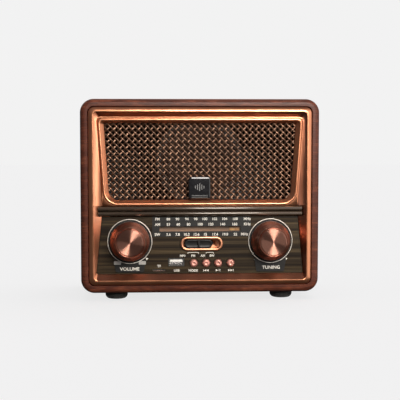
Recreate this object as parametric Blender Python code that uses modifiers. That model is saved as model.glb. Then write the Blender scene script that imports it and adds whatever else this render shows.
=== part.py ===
"""Retro tabletop radio: a wooden sleeve cabinet with a copper front, speaker grille, string-driven dial,
two knobs, a band switch, four push buttons, card and USB sockets, and a folding rod antenna at the back.

Units are metres, +Z is up and the radio faces -Y. Every piece hangs from one empty, whose origin is on the
cabinet's front edge, at the middle of its underside: in that frame x runs right, y runs back and z runs up.
"""

import math

import bmesh
import bpy
from mathutils import Vector

# ---- cabinet ----
CABINET_WIDTH = 0.2100
CABINET_HEIGHT = 0.1700
CABINET_DEPTH = 0.1050
CABINET_WALL = 0.0066
CABINET_CORNER = 0.0120
FRONT_ROUNDING = 0.0045
FOOT_HEIGHT = 0.0065
FOOT_RADIUS = 0.0100
FOOT_X = 0.0740
FOOT_SETBACK = 0.0180
KNOB_REACH = 0.0165  # the knobs' faces stand this far before the cabinet's front edge
ANTENNA_REACH = 0.1135  # the antenna's ears end this far behind the cabinet's front edge
GAP = 0.0003  # between pieces that rest on each other

# ---- front ----
MID_Z = CABINET_HEIGHT / 2
BEZEL_WIDTH = CABINET_WIDTH - 2 * CABINET_WALL - 2 * GAP
BEZEL_HEIGHT = CABINET_HEIGHT - 2 * CABINET_WALL - 2 * GAP
BEZEL_CORNER = 0.0056
CREST_INSET = 0.0041
CREST_Y = -0.0020
TROUGH_Y = 0.0025
PLATE_FRONT_Y = 0.0048
PLATE_BACK_Y = 0.0075
WAIST_TOP_Z = 0.0763
WAIST_BOTTOM_Z = 0.0679
GRILLE_TOP_Z = 0.1548
PANEL_BOTTOM_Z = 0.0165
HALF_AT_GRILLE_TOP = 0.0908
HALF_AT_WAIST_TOP = 0.0856
HALF_AT_WAIST_BOTTOM = 0.0866
HALF_AT_PANEL_BOTTOM = 0.0917
MESH_TOP_Z = 0.1502
MESH_BOTTOM_Z = 0.0818
MESH_HALF_TOP = 0.0845
MESH_HALF_BOTTOM = 0.0800
MESH_Y = (0.0045, 0.0060)
PANEL_Y = (0.0033, 0.0045)

# ---- controls ----
KNOB_X = 0.0621
KNOB_Z = 0.0455
KNOB_BASE_RADIUS = 0.0174
KNOB_CAP_RADIUS = 0.0116
KNOB_BACK_Y = 0.0024
SHAFT_RADIUS = 0.0030
SHAFT_END_Y = 0.0235
WINDOW_X = (-0.0360, 0.0357)
WINDOW_Z = (0.0540, 0.0583)
SWITCH_X = 0.0011
SWITCH_Z = 0.0432
SWITCH_WIDTH = 0.0374
SWITCH_HEIGHT = 0.0126
SWITCH_RECESS = (0.0327, 0.0086)
SLIDER_SIZE = (0.0247, 0.0076)
SLIDER_X = -0.0017
SWITCH_TRAVEL = 0.0065
BUTTON_Z = 0.0260
BUTTON_RADIUS = 0.00355
BUTTON_NAMES = ("mode_button", "previous_button", "play_button", "next_button")
BUTTON_XS = (-0.0058, 0.0052, 0.0158, 0.0268)
USB_X = -0.0212
USB_Z = 0.0269
USB_SIZE = (0.0143, 0.0074)
CARD_X = -0.0364
CARD_Z = 0.0198
CARD_SIZE = (0.0115, 0.0018)

# ---- dial drive ----
DRUM_RADIUS = 0.0202  # at the cord's middle
IDLER_RADIUS = 0.00475
CORD_RADIUS = 0.0004
CORD_Y = 0.0148
LEFT_IDLER = (-0.0460, KNOB_Z + DRUM_RADIUS - IDLER_RADIUS)
POINTER_RUN_Z = KNOB_Z + DRUM_RADIUS
RIGHT_IDLER = (0.0350, POINTER_RUN_Z - 3 * IDLER_RADIUS)
IDLER_POST_RADIUS = 0.0015
RAIL_Y = (0.0096, 0.0104)
POINTER_Y = (0.0068, 0.0091)
POINTER_X = (0.0262, 0.0352)
POINTER_ARM_X = (0.0285, 0.0329)

# ---- rear ----
COVER_Y = (0.1010, 0.1040)
ANTENNA_X = 0.0840
ANTENNA_Z = 0.1480
ANTENNA_Y = 0.1100
SECTION_LENGTH = 0.1500
SECTIONS = ((0.00325, 0.00275), (0.00245, 0.00195), (0.00165, 0.00120), (0.00090, None))
DOOR_SIZE = (0.0800, 0.0340)
DOOR_BOTTOM_Z = 0.0200
CELL_RADIUS = 0.0092
CELL_LENGTH = 0.0650
CELL_X = 0.0020
CELL_Y = 0.0900
CELL_Z = DOOR_BOTTOM_Z + DOOR_SIZE[1] / 2
SCREW_SPOTS = ((-0.0880, 0.0160), (0.0880, 0.0160), (-0.0880, 0.1540), (0.0880, 0.1320))
SCREW_HOLE_RADIUS = 0.0017
VENT_COUNT = 7
VENT_PITCH = 0.0090
VENT_SIZE = (0.0026, 0.0340)
VENT_Z = 0.1000
TRAY_Y = (0.0770, 0.1015)
TRAY_WALL = 0.0015
DC_SPOT = (-0.0620, 0.0300)
DC_BARREL_RADIUS = 0.0037
AUX_SPOT = (-0.0620, 0.0480)
AUX_BARREL_RADIUS = 0.0030
SOCKET_Y = (0.0990, 0.1036)  # the sockets' barrels, which fill their holes in the cover

# ---- speaker ----
SPEAKER_Z = 0.1160
SPEAKER_FRONT_Y = 0.0100
SPEAKER_RADIUS = 0.0385

# ---- depths of the boards and what is on them ----
KEY_BOARD_Y = (0.0165, 0.0181)
COMPONENT_Y = (0.0200, 0.0295)
MAIN_BOARD_Y = (0.0298, 0.0314)
MAIN_BOARD_HALF_WIDTH = 0.0800
ROD_Y = 0.0380
ROD_Z = 0.0660
ROD_RADIUS = 0.0050
ROD_LENGTH = 0.1200
COIL_LENGTH = 0.0260

ARC_STEPS = 4
SAME_POINT = 0.000005
ROUND_STEPS = 24
WAIST_ROUNDING = 0.0030
FACING_FRONT = (math.radians(90), 0, 0)  # turns local +Z to the front, and local +Y up
FACING_BACK = (math.radians(-90), 0, 0)  # turns local +Z to the back
FACING_RIGHT = (0, math.radians(90), 0)  # turns local +Z to the right
UPRIGHT = (0, 0, 0)

# colour, roughness, metallic
FINISHES = {
    "walnut": ((0.23, 0.10, 0.06), 0.42, 0.0),
    "dark_wood": ((0.05, 0.022, 0.012), 0.35, 0.0),
    "copper": ((0.72, 0.40, 0.26), 0.28, 0.9),
    "dark_mesh": ((0.13, 0.08, 0.055), 0.45, 0.7),
    "smoked": ((0.06, 0.035, 0.02), 0.12, 0.1),
    "black_gloss": ((0.01, 0.01, 0.01), 0.08, 0.0),
    "black_plastic": ((0.03, 0.03, 0.03), 0.5, 0.0),
    "rubber": ((0.02, 0.02, 0.02), 0.85, 0.0),
    "steel": ((0.60, 0.60, 0.60), 0.3, 1.0),
    "white_plastic": ((0.80, 0.80, 0.76), 0.4, 0.0),
    "amber": ((0.60, 0.33, 0.12), 0.3, 0.0),
    "board": ((0.05, 0.20, 0.09), 0.5, 0.0),
    "paper_cone": ((0.04, 0.04, 0.04), 0.9, 0.0),
    "ferrite": ((0.06, 0.06, 0.065), 0.6, 0.0),
    "winding": ((0.55, 0.22, 0.08), 0.35, 0.6),
    "blue_wrap": ((0.05, 0.16, 0.42), 0.35, 0.0),
    "thread": ((0.75, 0.70, 0.55), 0.8, 0.0),
}


def clear_scene():
    for obj in list(bpy.data.objects):
        bpy.data.objects.remove(obj, do_unlink=True)


def new_collection(name, hidden=False):
    made = bpy.data.collections.new(name)
    bpy.context.scene.collection.children.link(made)
    made.hide_render = hidden
    return made


clear_scene()
PARTS = new_collection("tabletop_radio")
CUTTERS = new_collection("cutters", hidden=True)
CABINET = bpy.data.objects.new("cabinet_frame", None)
PARTS.objects.link(CABINET)
CABINET.location = (0, (KNOB_REACH - ANTENNA_REACH) / 2, FOOT_HEIGHT)


# ---- making objects ----


def paint(obj, finish):
    colour, roughness, metallic = FINISHES[finish]
    made = bpy.data.materials.new(f"{obj.name}_{finish}")
    made.use_nodes = True
    shader = made.node_tree.nodes["Principled BSDF"]
    shader.inputs["Base Color"].default_value = (*colour, 1)
    shader.inputs["Roughness"].default_value = roughness
    shader.inputs["Metallic"].default_value = metallic
    obj.data.materials.clear()
    obj.data.materials.append(made)


def add(name, mesh, finish, location=(0, 0, 0), turn=UPRIGHT):
    """A part of the radio, or a cutter when it has no finish."""
    obj = bpy.data.objects.new(name, mesh)
    (PARTS if finish else CUTTERS).objects.link(obj)
    obj.parent = CABINET
    obj.location = location
    obj.rotation_euler = turn
    if finish:
        paint(obj, finish)
    else:
        obj.hide_render = True
        obj.display_type = "WIRE"
    return obj


def bevel(obj, width, segments=2, angle=35):
    made = obj.modifiers.new("rounded_edges", "BEVEL")
    made.width = width
    made.segments = segments
    made.limit_method = "ANGLE"
    made.angle_limit = math.radians(angle)


def combine(obj, tool, operation):
    made = obj.modifiers.new(f"{operation.lower()}_{tool.name}", "BOOLEAN")
    made.operation = operation
    made.solver = "EXACT"
    made.object = tool


def cut(obj, *tools):
    for tool in tools:
        combine(obj, tool, "DIFFERENCE")


def join(obj, *tools):
    for tool in tools:
        combine(obj, tool, "UNION")


def shade_round(obj, angle=30):
    obj.data.shade_smooth()
    obj.data.set_sharp_from_angle(angle=math.radians(angle))


def finished_mesh(name, shape):
    """The mesh data of a bmesh, with every face turned outward."""
    bmesh.ops.recalc_face_normals(shape, faces=shape.faces)
    mesh = bpy.data.meshes.new(name)
    shape.to_mesh(mesh)
    shape.free()
    return mesh


def box(name, size, centre, finish=None, rounding=0.0):
    shape = bmesh.new()
    bmesh.ops.create_cube(shape, size=1)
    bmesh.ops.scale(shape, vec=size, verts=shape.verts)
    obj = add(name, finished_mesh(name, shape), finish, centre)
    if rounding:
        bevel(obj, rounding)
    return obj


def block(name, xs, ys, zs, finish=None, rounding=0.0):
    """A box given by its lowest and highest x, y and z."""
    size = [high - low for low, high in (xs, ys, zs)]
    centre = [(high + low) / 2 for low, high in (xs, ys, zs)]
    return box(name, size, centre, finish, rounding)


def cylinder(name, radius, length, centre, finish=None, turn=FACING_FRONT, steps=ROUND_STEPS):
    shape = bmesh.new()
    bmesh.ops.create_cone(
        shape,
        cap_ends=True,
        segments=steps,
        radius1=radius,
        radius2=radius,
        depth=length,
    )
    obj = add(name, finished_mesh(name, shape), finish, centre, turn)
    shade_round(obj)
    return obj


def front_cylinder(name, radius, x, z, ys, finish=None, steps=ROUND_STEPS):
    """A cylinder along Y between two depths."""
    centre = (x, (ys[0] + ys[1]) / 2, z)
    return cylinder(name, radius, ys[1] - ys[0], centre, finish, steps=steps)


def turned(name, profile, finish, location, turn=FACING_FRONT, closed=False, steps=ROUND_STEPS):
    """A solid of revolution about local Z. The profile is (radius, height) and runs down the outer side."""
    shape = bmesh.new()
    points = [shape.verts.new((radius, 0, height)) for radius, height in profile]
    for first, second in zip(points, points[1:]):
        shape.edges.new((first, second))
    if closed:
        shape.edges.new((points[-1], points[0]))
    mesh = bpy.data.meshes.new(name)
    shape.to_mesh(mesh)
    shape.free()
    obj = add(name, mesh, finish, location, turn)
    screw = obj.modifiers.new("turned", "SCREW")
    screw.steps = steps
    screw.render_steps = steps
    screw.use_merge_vertices = True
    screw.merge_threshold = 0.00001
    screw.use_smooth_shade = True
    return obj


def corner_arc(before, corner, after, distance):
    """Points of the arc that starts `distance` before a corner and ends as far after it."""
    to_before = (Vector(before) - Vector(corner)).normalized()
    to_after = (Vector(after) - Vector(corner)).normalized()
    start = Vector(corner) + distance * to_before
    end = Vector(corner) + distance * to_after
    weight = math.sin(to_before.angle(to_after) / 2)
    points = []
    for step in range(ARC_STEPS + 1):
        t = step / ARC_STEPS
        shares = ((1 - t) ** 2, 2 * t * (1 - t) * weight, t**2)
        total = sum(shares)
        points.append((shares[0] * start + shares[1] * Vector(corner) + shares[2] * end) / total)
    return points


def outline(corners):
    """A closed outline through (x, z, distance) corners, each rounded from `distance` before it."""
    points = []
    for index, (x, z, distance) in enumerate(corners):
        before = corners[index - 1][:2]
        after = corners[(index + 1) % len(corners)][:2]
        if distance:
            points += corner_arc(before, (x, z), after, distance)
        else:
            points.append(Vector((x, z)))
    return [point for index, point in enumerate(points) if (point - points[index - 1]).length > SAME_POINT]


def rectangle(width, height, radius, x=0.0, z=0.0):
    return outline(
        [
            (x + width / 2, z + height / 2, radius),
            (x - width / 2, z + height / 2, radius),
            (x - width / 2, z - height / 2, radius),
            (x + width / 2, z - height / 2, radius),
        ]
    )


def stadium(width, height, x, z):
    return rectangle(width, height, min(width, height) / 2, x, z)


def circle(radius, x, z, start_degrees=0, steps=20):
    """A round outline. Different starts keep the points of neighbouring holes off one straight line."""
    angles = [math.radians(start_degrees + 360 * step / steps) for step in range(steps)]
    return [Vector((x + radius * math.cos(angle), z + radius * math.sin(angle))) for angle in angles]


def trapezoid(top_half, bottom_half, top_z, bottom_z, top_radius, bottom_radius):
    return outline(
        [
            (top_half, top_z, top_radius),
            (-top_half, top_z, top_radius),
            (-bottom_half, bottom_z, bottom_radius),
            (bottom_half, bottom_z, bottom_radius),
        ]
    )


def plate(name, outlines, ys, finish=None):
    """A flat piece in the XZ plane between two depths. Outlines after the first are its openings."""
    curve = bpy.data.curves.new(name, "CURVE")
    curve.dimensions = "2D"
    curve.fill_mode = "BOTH"
    curve.extrude = (ys[1] - ys[0]) / 2
    for points in outlines:
        spline = curve.splines.new("POLY")
        spline.points.add(len(points) - 1)
        for point, (x, z) in zip(spline.points, points):
            point.co = (x, z, 0, 1)
        spline.use_cyclic_u = True
    source = bpy.data.objects.new(f"{name}_curve", curve)
    CUTTERS.objects.link(source)
    bpy.context.view_layer.update()
    graph = bpy.context.evaluated_depsgraph_get()
    mesh = bpy.data.meshes.new_from_object(source.evaluated_get(graph))
    bpy.data.objects.remove(source, do_unlink=True)
    shape = bmesh.new()
    shape.from_mesh(mesh)
    bmesh.ops.remove_doubles(shape, verts=shape.verts, dist=SAME_POINT)
    bpy.data.meshes.remove(mesh)
    return add(name, finished_mesh(name, shape), finish, (0, (ys[0] + ys[1]) / 2, 0), FACING_FRONT)


def loft(name, rings, finish=None):
    """A frame through closed rings, given as (outline, y), whose last ring joins the first."""
    shape = bmesh.new()
    rows = [[shape.verts.new((x, y, z)) for x, z in points] for points, y in rings]
    count = len(rows[0])
    for index, row in enumerate(rows):
        following = rows[(index + 1) % len(rows)]
        for spot in range(count):
            beside = (spot + 1) % count
            shape.faces.new((row[spot], row[beside], following[beside], following[spot]))
    return add(name, finished_mesh(name, shape), finish)


def tube(name, points, radius, finish, closed=False):
    """A round tube along points, with flat ends."""
    curve = bpy.data.curves.new(name, "CURVE")
    curve.dimensions = "3D"
    curve.bevel_depth = radius
    curve.bevel_resolution = 2
    curve.use_fill_caps = not closed
    spline = curve.splines.new("POLY")
    spline.points.add(len(points) - 1)
    for point, place in zip(spline.points, points):
        point.co = (*place, 1)
    spline.use_cyclic_u = closed
    return add(name, curve, finish)


# ---- cabinet ----


def cabinet_ring(inset, y):
    radius = max(CABINET_CORNER - inset, 0.0010)
    return rectangle(CABINET_WIDTH - 2 * inset, CABINET_HEIGHT - 2 * inset, radius, 0, MID_Z), y


def cabinet_sleeve():
    """The wooden sleeve: one bent board, open at the front and the back, with rounded front edges."""
    steps = 6
    angles = [math.radians(90) * step / steps for step in range(steps + 1)]
    rings = [
        cabinet_ring(FRONT_ROUNDING * (1 - math.sin(angle)), FRONT_ROUNDING * (1 - math.cos(angle)))
        for angle in angles
    ]
    rings += [
        cabinet_ring(0, CABINET_DEPTH - 0.0012),
        cabinet_ring(0.0012, CABINET_DEPTH),
        cabinet_ring(CABINET_WALL - 0.0003, CABINET_DEPTH),
        cabinet_ring(CABINET_WALL, CABINET_DEPTH - 0.0003),
        cabinet_ring(CABINET_WALL, 0.0004),
        cabinet_ring(CABINET_WALL - 0.0004, 0),
    ]
    sleeve = loft("cabinet_sleeve", rings, "walnut")
    shade_round(sleeve, 25)
    for index, (x, z) in enumerate(SCREW_SPOTS):
        towards_wall = math.copysign(0.0030, x)
        post = box(f"screw_post_{index}", (0.0180, 0.0200, 0.0120), (x + towards_wall, 0.0905, z))
        hole = front_cylinder(f"screw_hole_{index}", SCREW_HOLE_RADIUS, x, z, (0.0850, COVER_Y[0]), steps=10)
        join(sleeve, post)
        cut(sleeve, hole)
    return sleeve


def feet():
    profile = (
        (0, -GAP),
        (FOOT_RADIUS, -GAP),
        (FOOT_RADIUS, -0.0030),
        (0.0094, -0.0048),
        (0.0082, -0.0059),
        (0.0066, -FOOT_HEIGHT),
        (0, -FOOT_HEIGHT),
    )
    for side, x in (("left", -FOOT_X), ("right", FOOT_X)):
        for end, y in (("front", FOOT_SETBACK), ("rear", CABINET_DEPTH - FOOT_SETBACK)):
            turned(f"foot_{end}_{side}", profile, "rubber", (x, y, 0), UPRIGHT, steps=18)


# ---- front ----


def hourglass():
    """The bezel's inner edge: the grille's trapezoid above the waist and the panel's below it."""
    side = WAIST_ROUNDING
    return outline(
        [
            (HALF_AT_GRILLE_TOP, GRILLE_TOP_Z, 0.0042),
            (-HALF_AT_GRILLE_TOP, GRILLE_TOP_Z, 0.0042),
            (-HALF_AT_WAIST_TOP, WAIST_TOP_Z, side),
            (-HALF_AT_WAIST_BOTTOM, WAIST_BOTTOM_Z, side),
            (-HALF_AT_PANEL_BOTTOM, PANEL_BOTTOM_Z, 0.0020),
            (HALF_AT_PANEL_BOTTOM, PANEL_BOTTOM_Z, 0.0020),
            (HALF_AT_WAIST_BOTTOM, WAIST_BOTTOM_Z, side),
            (HALF_AT_WAIST_TOP, WAIST_TOP_Z, side),
        ]
    )


def bezel_ring(inset, y):
    """A rounded rectangle inside the bezel's outer edge, with points beside each of the hourglass's."""
    half_x = BEZEL_WIDTH / 2 - inset
    top = MID_Z + BEZEL_HEIGHT / 2 - inset
    bottom = MID_Z - BEZEL_HEIGHT / 2 + inset
    radius = max(BEZEL_CORNER - 0.4 * inset, 0.0010)
    side = WAIST_ROUNDING
    corners = [
        (half_x, top, radius),
        (-half_x, top, radius),
        (-half_x, WAIST_TOP_Z, side),
        (-half_x, WAIST_BOTTOM_Z, side),
        (-half_x, bottom, radius),
        (half_x, bottom, radius),
        (half_x, WAIST_BOTTOM_Z, side),
        (half_x, WAIST_TOP_Z, side),
    ]
    return outline(corners), y


def grille_frame():
    """The raised bead round the grille, from the hourglass's edge in to the mesh."""
    reach = 0.0058

    def ring(grow, radius_top, radius_bottom, y):
        slope = (MESH_HALF_TOP - MESH_HALF_BOTTOM) / (MESH_TOP_Z - MESH_BOTTOM_Z)
        points = trapezoid(
            MESH_HALF_TOP + grow + slope * grow,
            MESH_HALF_BOTTOM + grow - slope * grow,
            MESH_TOP_Z + 0.8 * grow,
            MESH_BOTTOM_Z - 0.9 * grow,
            radius_top,
            radius_bottom,
        )
        return points, y

    sunk = 0.0004  # how far the frame runs into the bezel's walls
    edge = trapezoid(
        HALF_AT_GRILLE_TOP + sunk,
        HALF_AT_WAIST_TOP + sunk,
        GRILLE_TOP_Z + sunk,
        WAIST_TOP_Z - sunk,
        0.0044,
        0.0010,
    )
    rings = [
        (edge, PLATE_BACK_Y - sunk),
        (edge, 0.0014),
        ring(reach - 0.0005, 0.0040, 0.0125, 0.0014),
        ring(reach - 0.0011, 0.0038, 0.0120, 0.0007),
        ring(reach - 0.0018, 0.0035, 0.0114, 0.0004),
        ring(reach - 0.0025, 0.0032, 0.0108, 0.0007),
        ring(reach - 0.0031, 0.0029, 0.0102, 0.0014),
        ring(0, 0.0015, 0.0080, 0.0042),
        ring(0, 0.0015, 0.0080, PLATE_BACK_Y - sunk),
    ]
    return loft("grille_frame", rings)


def panel_holes(slack):
    """Outlines of the openings that the panel and the plate behind it share, grown by `slack`."""
    holes = [circle(0.0060 + slack, x, KNOB_Z, 3 * index) for index, x in enumerate((-KNOB_X, KNOB_X), 1)]
    holes += [
        circle(BUTTON_RADIUS + 0.0004 + slack, x, BUTTON_Z, 2 * index) for index, x in enumerate(BUTTON_XS, 1)
    ]
    holes.append(rectangle(USB_SIZE[0] + 2 * slack, USB_SIZE[1] + 2 * slack, 0.0004, USB_X, USB_Z))
    holes.append(rectangle(CARD_SIZE[0] + 2 * slack, CARD_SIZE[1] + 2 * slack, 0.0003, CARD_X, CARD_Z))
    around_cup = 0.0026 + 2 * slack
    holes.append(stadium(SWITCH_RECESS[0] + around_cup, SWITCH_RECESS[1] + around_cup, SWITCH_X, SWITCH_Z))
    window_slack = 4 * slack
    holes.append(
        rectangle(
            WINDOW_X[1] - WINDOW_X[0] + window_slack,
            WINDOW_Z[1] - WINDOW_Z[0] + window_slack,
            0.0003,
            (WINDOW_X[0] + WINDOW_X[1]) / 2,
            (WINDOW_Z[0] + WINDOW_Z[1]) / 2,
        )
    )
    return holes


def panel_seat():
    """The plate behind the dial panel, a little wider than it, with the same openings."""
    lip = 0.0012
    edge = outline(
        [
            (HALF_AT_WAIST_BOTTOM - GAP, WAIST_TOP_Z + 0.0030, 0),
            (-HALF_AT_WAIST_BOTTOM + GAP, WAIST_TOP_Z + 0.0030, 0),
            (-HALF_AT_WAIST_BOTTOM - lip, WAIST_BOTTOM_Z, 0),
            (-HALF_AT_PANEL_BOTTOM - lip, PANEL_BOTTOM_Z - lip, 0),
            (HALF_AT_PANEL_BOTTOM + lip, PANEL_BOTTOM_Z - lip, 0),
            (HALF_AT_WAIST_BOTTOM + lip, WAIST_BOTTOM_Z, 0),
        ]
    )
    return plate("panel_seat", [edge, *panel_holes(0.0005)], (PLATE_FRONT_Y, PLATE_BACK_Y - 0.0002))


def front_bezel():
    """The copper front moulding: rim, sloping inner faces, grille bead and the plate behind the panel."""
    inner = hourglass()
    rings = [
        bezel_ring(0.0000, 0.0140),
        bezel_ring(0.0000, 0.0006),
        bezel_ring(0.0004, -0.0002),
        bezel_ring(0.0018, -0.0012),
        bezel_ring(0.0032, -0.0018),
        bezel_ring(CREST_INSET, CREST_Y),
        bezel_ring(CREST_INSET + 0.0005, CREST_Y + 0.0003),
        (inner, TROUGH_Y),
        (inner, PLATE_BACK_Y),
        bezel_ring(0.0040, PLATE_BACK_Y + 0.0010),
        bezel_ring(0.0024, 0.0140),
    ]
    bezel = loft("front_bezel", rings, "copper")
    trim_groove = block("trim_groove", (-0.0899, 0.0899), (-0.0100, 0.0046), (0.0676, 0.0766))
    waist = block("waist_bar", (-0.0862, 0.0862), (0.0050, 0.0070), (0.0660, 0.0790))
    join(bezel, grille_frame(), panel_seat(), waist)
    cut(bezel, trim_groove)
    for name, (x, z) in (("left_idler_post", LEFT_IDLER), ("right_idler_post", RIGHT_IDLER)):
        join(bezel, front_cylinder(name, IDLER_POST_RADIUS, x, z, (0.0060, 0.0186), steps=20))
    shade_round(bezel, 25)
    return bezel


def speaker_grille():
    """The flat woven mesh in the bead's opening."""
    inset = GAP
    points = trapezoid(MESH_HALF_TOP - inset, MESH_HALF_BOTTOM - inset, MESH_TOP_Z - inset,
                       MESH_BOTTOM_Z + inset, 0.0013, 0.0078)
    plate("speaker_grille", [points], MESH_Y, "dark_mesh")


def grille_badge():
    """The blank glossy badge that stands at the grille's lower edge."""
    badge = plate("grille_badge", [rectangle(0.0192, 0.0197, 0.0022, -0.0007, 0.0924)], (0.0018, 0.0042),
                  "black_gloss")
    bevel(badge, 0.0007, 2, 50)


def trim_profile():
    """The bar's cross-section as (y, z): two half-round rails with a narrow groove between them."""
    back, flat, proud, groove = 0.0043, 0.0012, -0.0013, 0.0018
    steps = 7
    rails = ((WAIST_BOTTOM_Z, 0.0718), (0.0723, WAIST_TOP_Z))
    points = [(back, WAIST_BOTTOM_Z), (flat, WAIST_BOTTOM_Z)]
    for low, high in rails:
        for step in range(1, steps):
            angle = math.radians(180) * step / steps
            z = (low + high) / 2 - (high - low) / 2 * math.cos(angle)
            points.append((flat + (proud - flat) * math.sin(angle), z))
        points.append((groove, high))
    points.append((back, WAIST_TOP_Z))
    return points


def trim_bar():
    """The smoked double rail across the waist."""
    half_length = 0.0896
    shape = bmesh.new()
    section = [shape.verts.new((-half_length, y, z)) for y, z in trim_profile()]
    face = shape.faces.new(section)
    grown = bmesh.ops.extrude_face_region(shape, geom=[face])
    moved = [item for item in grown["geom"] if isinstance(item, bmesh.types.BMVert)]
    bmesh.ops.translate(shape, vec=(2 * half_length, 0, 0), verts=moved)
    bar = add("trim_bar", finished_mesh("trim_bar", shape), "smoked")
    shade_round(bar, 50)


def dial_panel():
    """The wood-grained control panel with its window and openings."""
    inset = GAP
    edge = outline(
        [
            (HALF_AT_WAIST_BOTTOM - inset, WAIST_BOTTOM_Z - 0.0006, 0.0006),
            (-HALF_AT_WAIST_BOTTOM + inset, WAIST_BOTTOM_Z - 0.0006, 0.0006),
            (-HALF_AT_PANEL_BOTTOM + inset, PANEL_BOTTOM_Z + inset, 0.0018),
            (HALF_AT_PANEL_BOTTOM - inset, PANEL_BOTTOM_Z + inset, 0.0018),
        ]
    )
    plate("dial_panel", [edge, *panel_holes(0)], PANEL_Y, "dark_wood")


def scale_window():
    """The clear strip behind the panel's long slot."""
    slack = 0.0014
    block(
        "scale_window",
        (WINDOW_X[0] - slack / 2, WINDOW_X[1] + slack / 2),
        (0.0049, 0.0060),
        (WINDOW_Z[0] - slack / 2, WINDOW_Z[1] + slack / 2),
        "black_gloss",
    )


# ---- knobs ----


def knob(side, x):
    """A flared copper knob with a spun disc set in its face, and the thin ring round it on the panel."""
    face = KNOB_REACH + KNOB_BACK_Y
    profile = (
        (KNOB_CAP_RADIUS + 0.0006, face - 0.0002),
        (0.0130, face - 0.0012),
        (0.0135, face - 0.0070),
        (0.0148, face - 0.0120),
        (KNOB_BASE_RADIUS, 0.0034),
        (KNOB_BASE_RADIUS, 0.0000),
        (0.0150, 0.0000),
        (0.0124, 0.0120),
        (SHAFT_RADIUS + GAP, 0.0120),
        (SHAFT_RADIUS + GAP, face - 0.0026),
        (0.0004, face - 0.0026),
        (0.0004, face - 0.0014),
        (KNOB_CAP_RADIUS + 0.0002, face - 0.0014),
    )
    turned(f"{side}_knob", profile, "copper", (x, KNOB_BACK_Y, KNOB_Z), closed=True)
    cap = ((0, face), (KNOB_CAP_RADIUS - 0.0006, face), (KNOB_CAP_RADIUS - 0.0001, face - 0.0004),
           (KNOB_CAP_RADIUS - 0.0001, face - 0.0011), (0, face - 0.0011))
    turned(f"{side}_knob_cap", cap, "copper", (x, KNOB_BACK_Y, KNOB_Z))
    ring = ((0.0188, 0.0006), (0.0196, 0.0006), (0.0197, 0.0000), (0.0188, 0.0000))
    turned(f"{side}_knob_ring", ring, "steel", (x, PANEL_Y[0] - GAP, KNOB_Z), closed=True, steps=28)


def shafts():
    """Each knob's steel shaft, from inside the knob back into its component."""
    front = KNOB_BACK_Y - (KNOB_REACH + KNOB_BACK_Y - 0.0026) + GAP
    for name, x in (("volume_shaft", -KNOB_X), ("tuning_shaft", KNOB_X)):
        front_cylinder(name, SHAFT_RADIUS, x, KNOB_Z, (front, SHAFT_END_Y), "steel", steps=24)


# ---- switch, buttons and sockets ----


def band_switch():
    """The stadium-shaped copper dish, the black slider in it, and the switch behind."""
    width, height = SWITCH_RECESS
    dish = plate("band_switch_bezel", [stadium(SWITCH_WIDTH, SWITCH_HEIGHT, SWITCH_X, SWITCH_Z)],
                 (0.0012, 0.0030), "copper")
    bevel(dish, 0.0008, 2, 50)
    cup_edge = stadium(width + 0.0020, height + 0.0020, SWITCH_X, SWITCH_Z)
    cup = plate("switch_cup", [cup_edge], (0.0020, 0.0090))
    recess = plate("switch_recess", [stadium(width, height, SWITCH_X, SWITCH_Z)], (-0.0050, 0.0078))
    slot = block("switch_slot", (SWITCH_X - 0.0110, SWITCH_X + 0.0110), (0.0070, 0.0100),
                 (SWITCH_Z - 0.0013, SWITCH_Z + 0.0013))
    join(dish, cup)
    cut(dish, recess, slot)
    slider = plate("band_switch_slider", [stadium(*SLIDER_SIZE, SLIDER_X, SWITCH_Z)], (0.0000, 0.0072),
                   "black_plastic")
    bevel(slider, 0.0006, 2, 50)
    rib = block("slider_rib", (SLIDER_X - 0.0008, SLIDER_X + 0.0008), (-0.0012, 0.0020),
                (SWITCH_Z - 0.0030, SWITCH_Z + 0.0030))
    stem = block("slider_stem", (SLIDER_X - 0.0020, SLIDER_X + 0.0020), (0.0060, 0.0150),
                 (SWITCH_Z - 0.0009, SWITCH_Z + 0.0009))
    join(slider, rib, stem)
    body = block("band_switch_body", (-0.0140, 0.0180), (0.0128, 0.0194), (0.0385, 0.0479), "steel", 0.0004)
    travel = block("switch_travel", (SLIDER_X - 0.0026, SLIDER_X + 0.0027 + SWITCH_TRAVEL), (0.0100, 0.0160),
                   (SWITCH_Z - 0.0014, SWITCH_Z + 0.0014))
    cut(body, travel)


def buttons():
    """Domed copper buttons, each with a flange that keeps it in and a stem that meets its key."""
    profile = (
        (0, 0.0026),
        (0.0014, 0.0025),
        (0.0026, 0.0020),
        (0.0033, 0.0012),
        (BUTTON_RADIUS, 0.0004),
        (BUTTON_RADIUS, -0.0046),
        (0.0047, -0.0046),
        (0.0047, -0.0056),
        (0.0018, -0.0056),
        (0.0018, -0.0068),
        (0, -0.0068),
    )
    for name, x in zip(BUTTON_NAMES, BUTTON_XS):
        turned(name, profile, "copper", (x, PANEL_Y[0], BUTTON_Z), steps=14)


def key_board():
    """The small board behind the buttons, with its four keys soldered on."""
    board = block("key_board", (-0.0450, 0.0370), KEY_BOARD_Y, (0.0130, 0.0340), "board")
    for name, x in zip(BUTTON_NAMES, BUTTON_XS):
        join(board, box(f"{name}_key", (0.0062, 0.0036, 0.0062), (x, 0.0150, BUTTON_Z)))
        join(board, front_cylinder(f"{name}_plunger", 0.0017, x, BUTTON_Z, (0.0112, 0.0140), steps=16))


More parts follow.
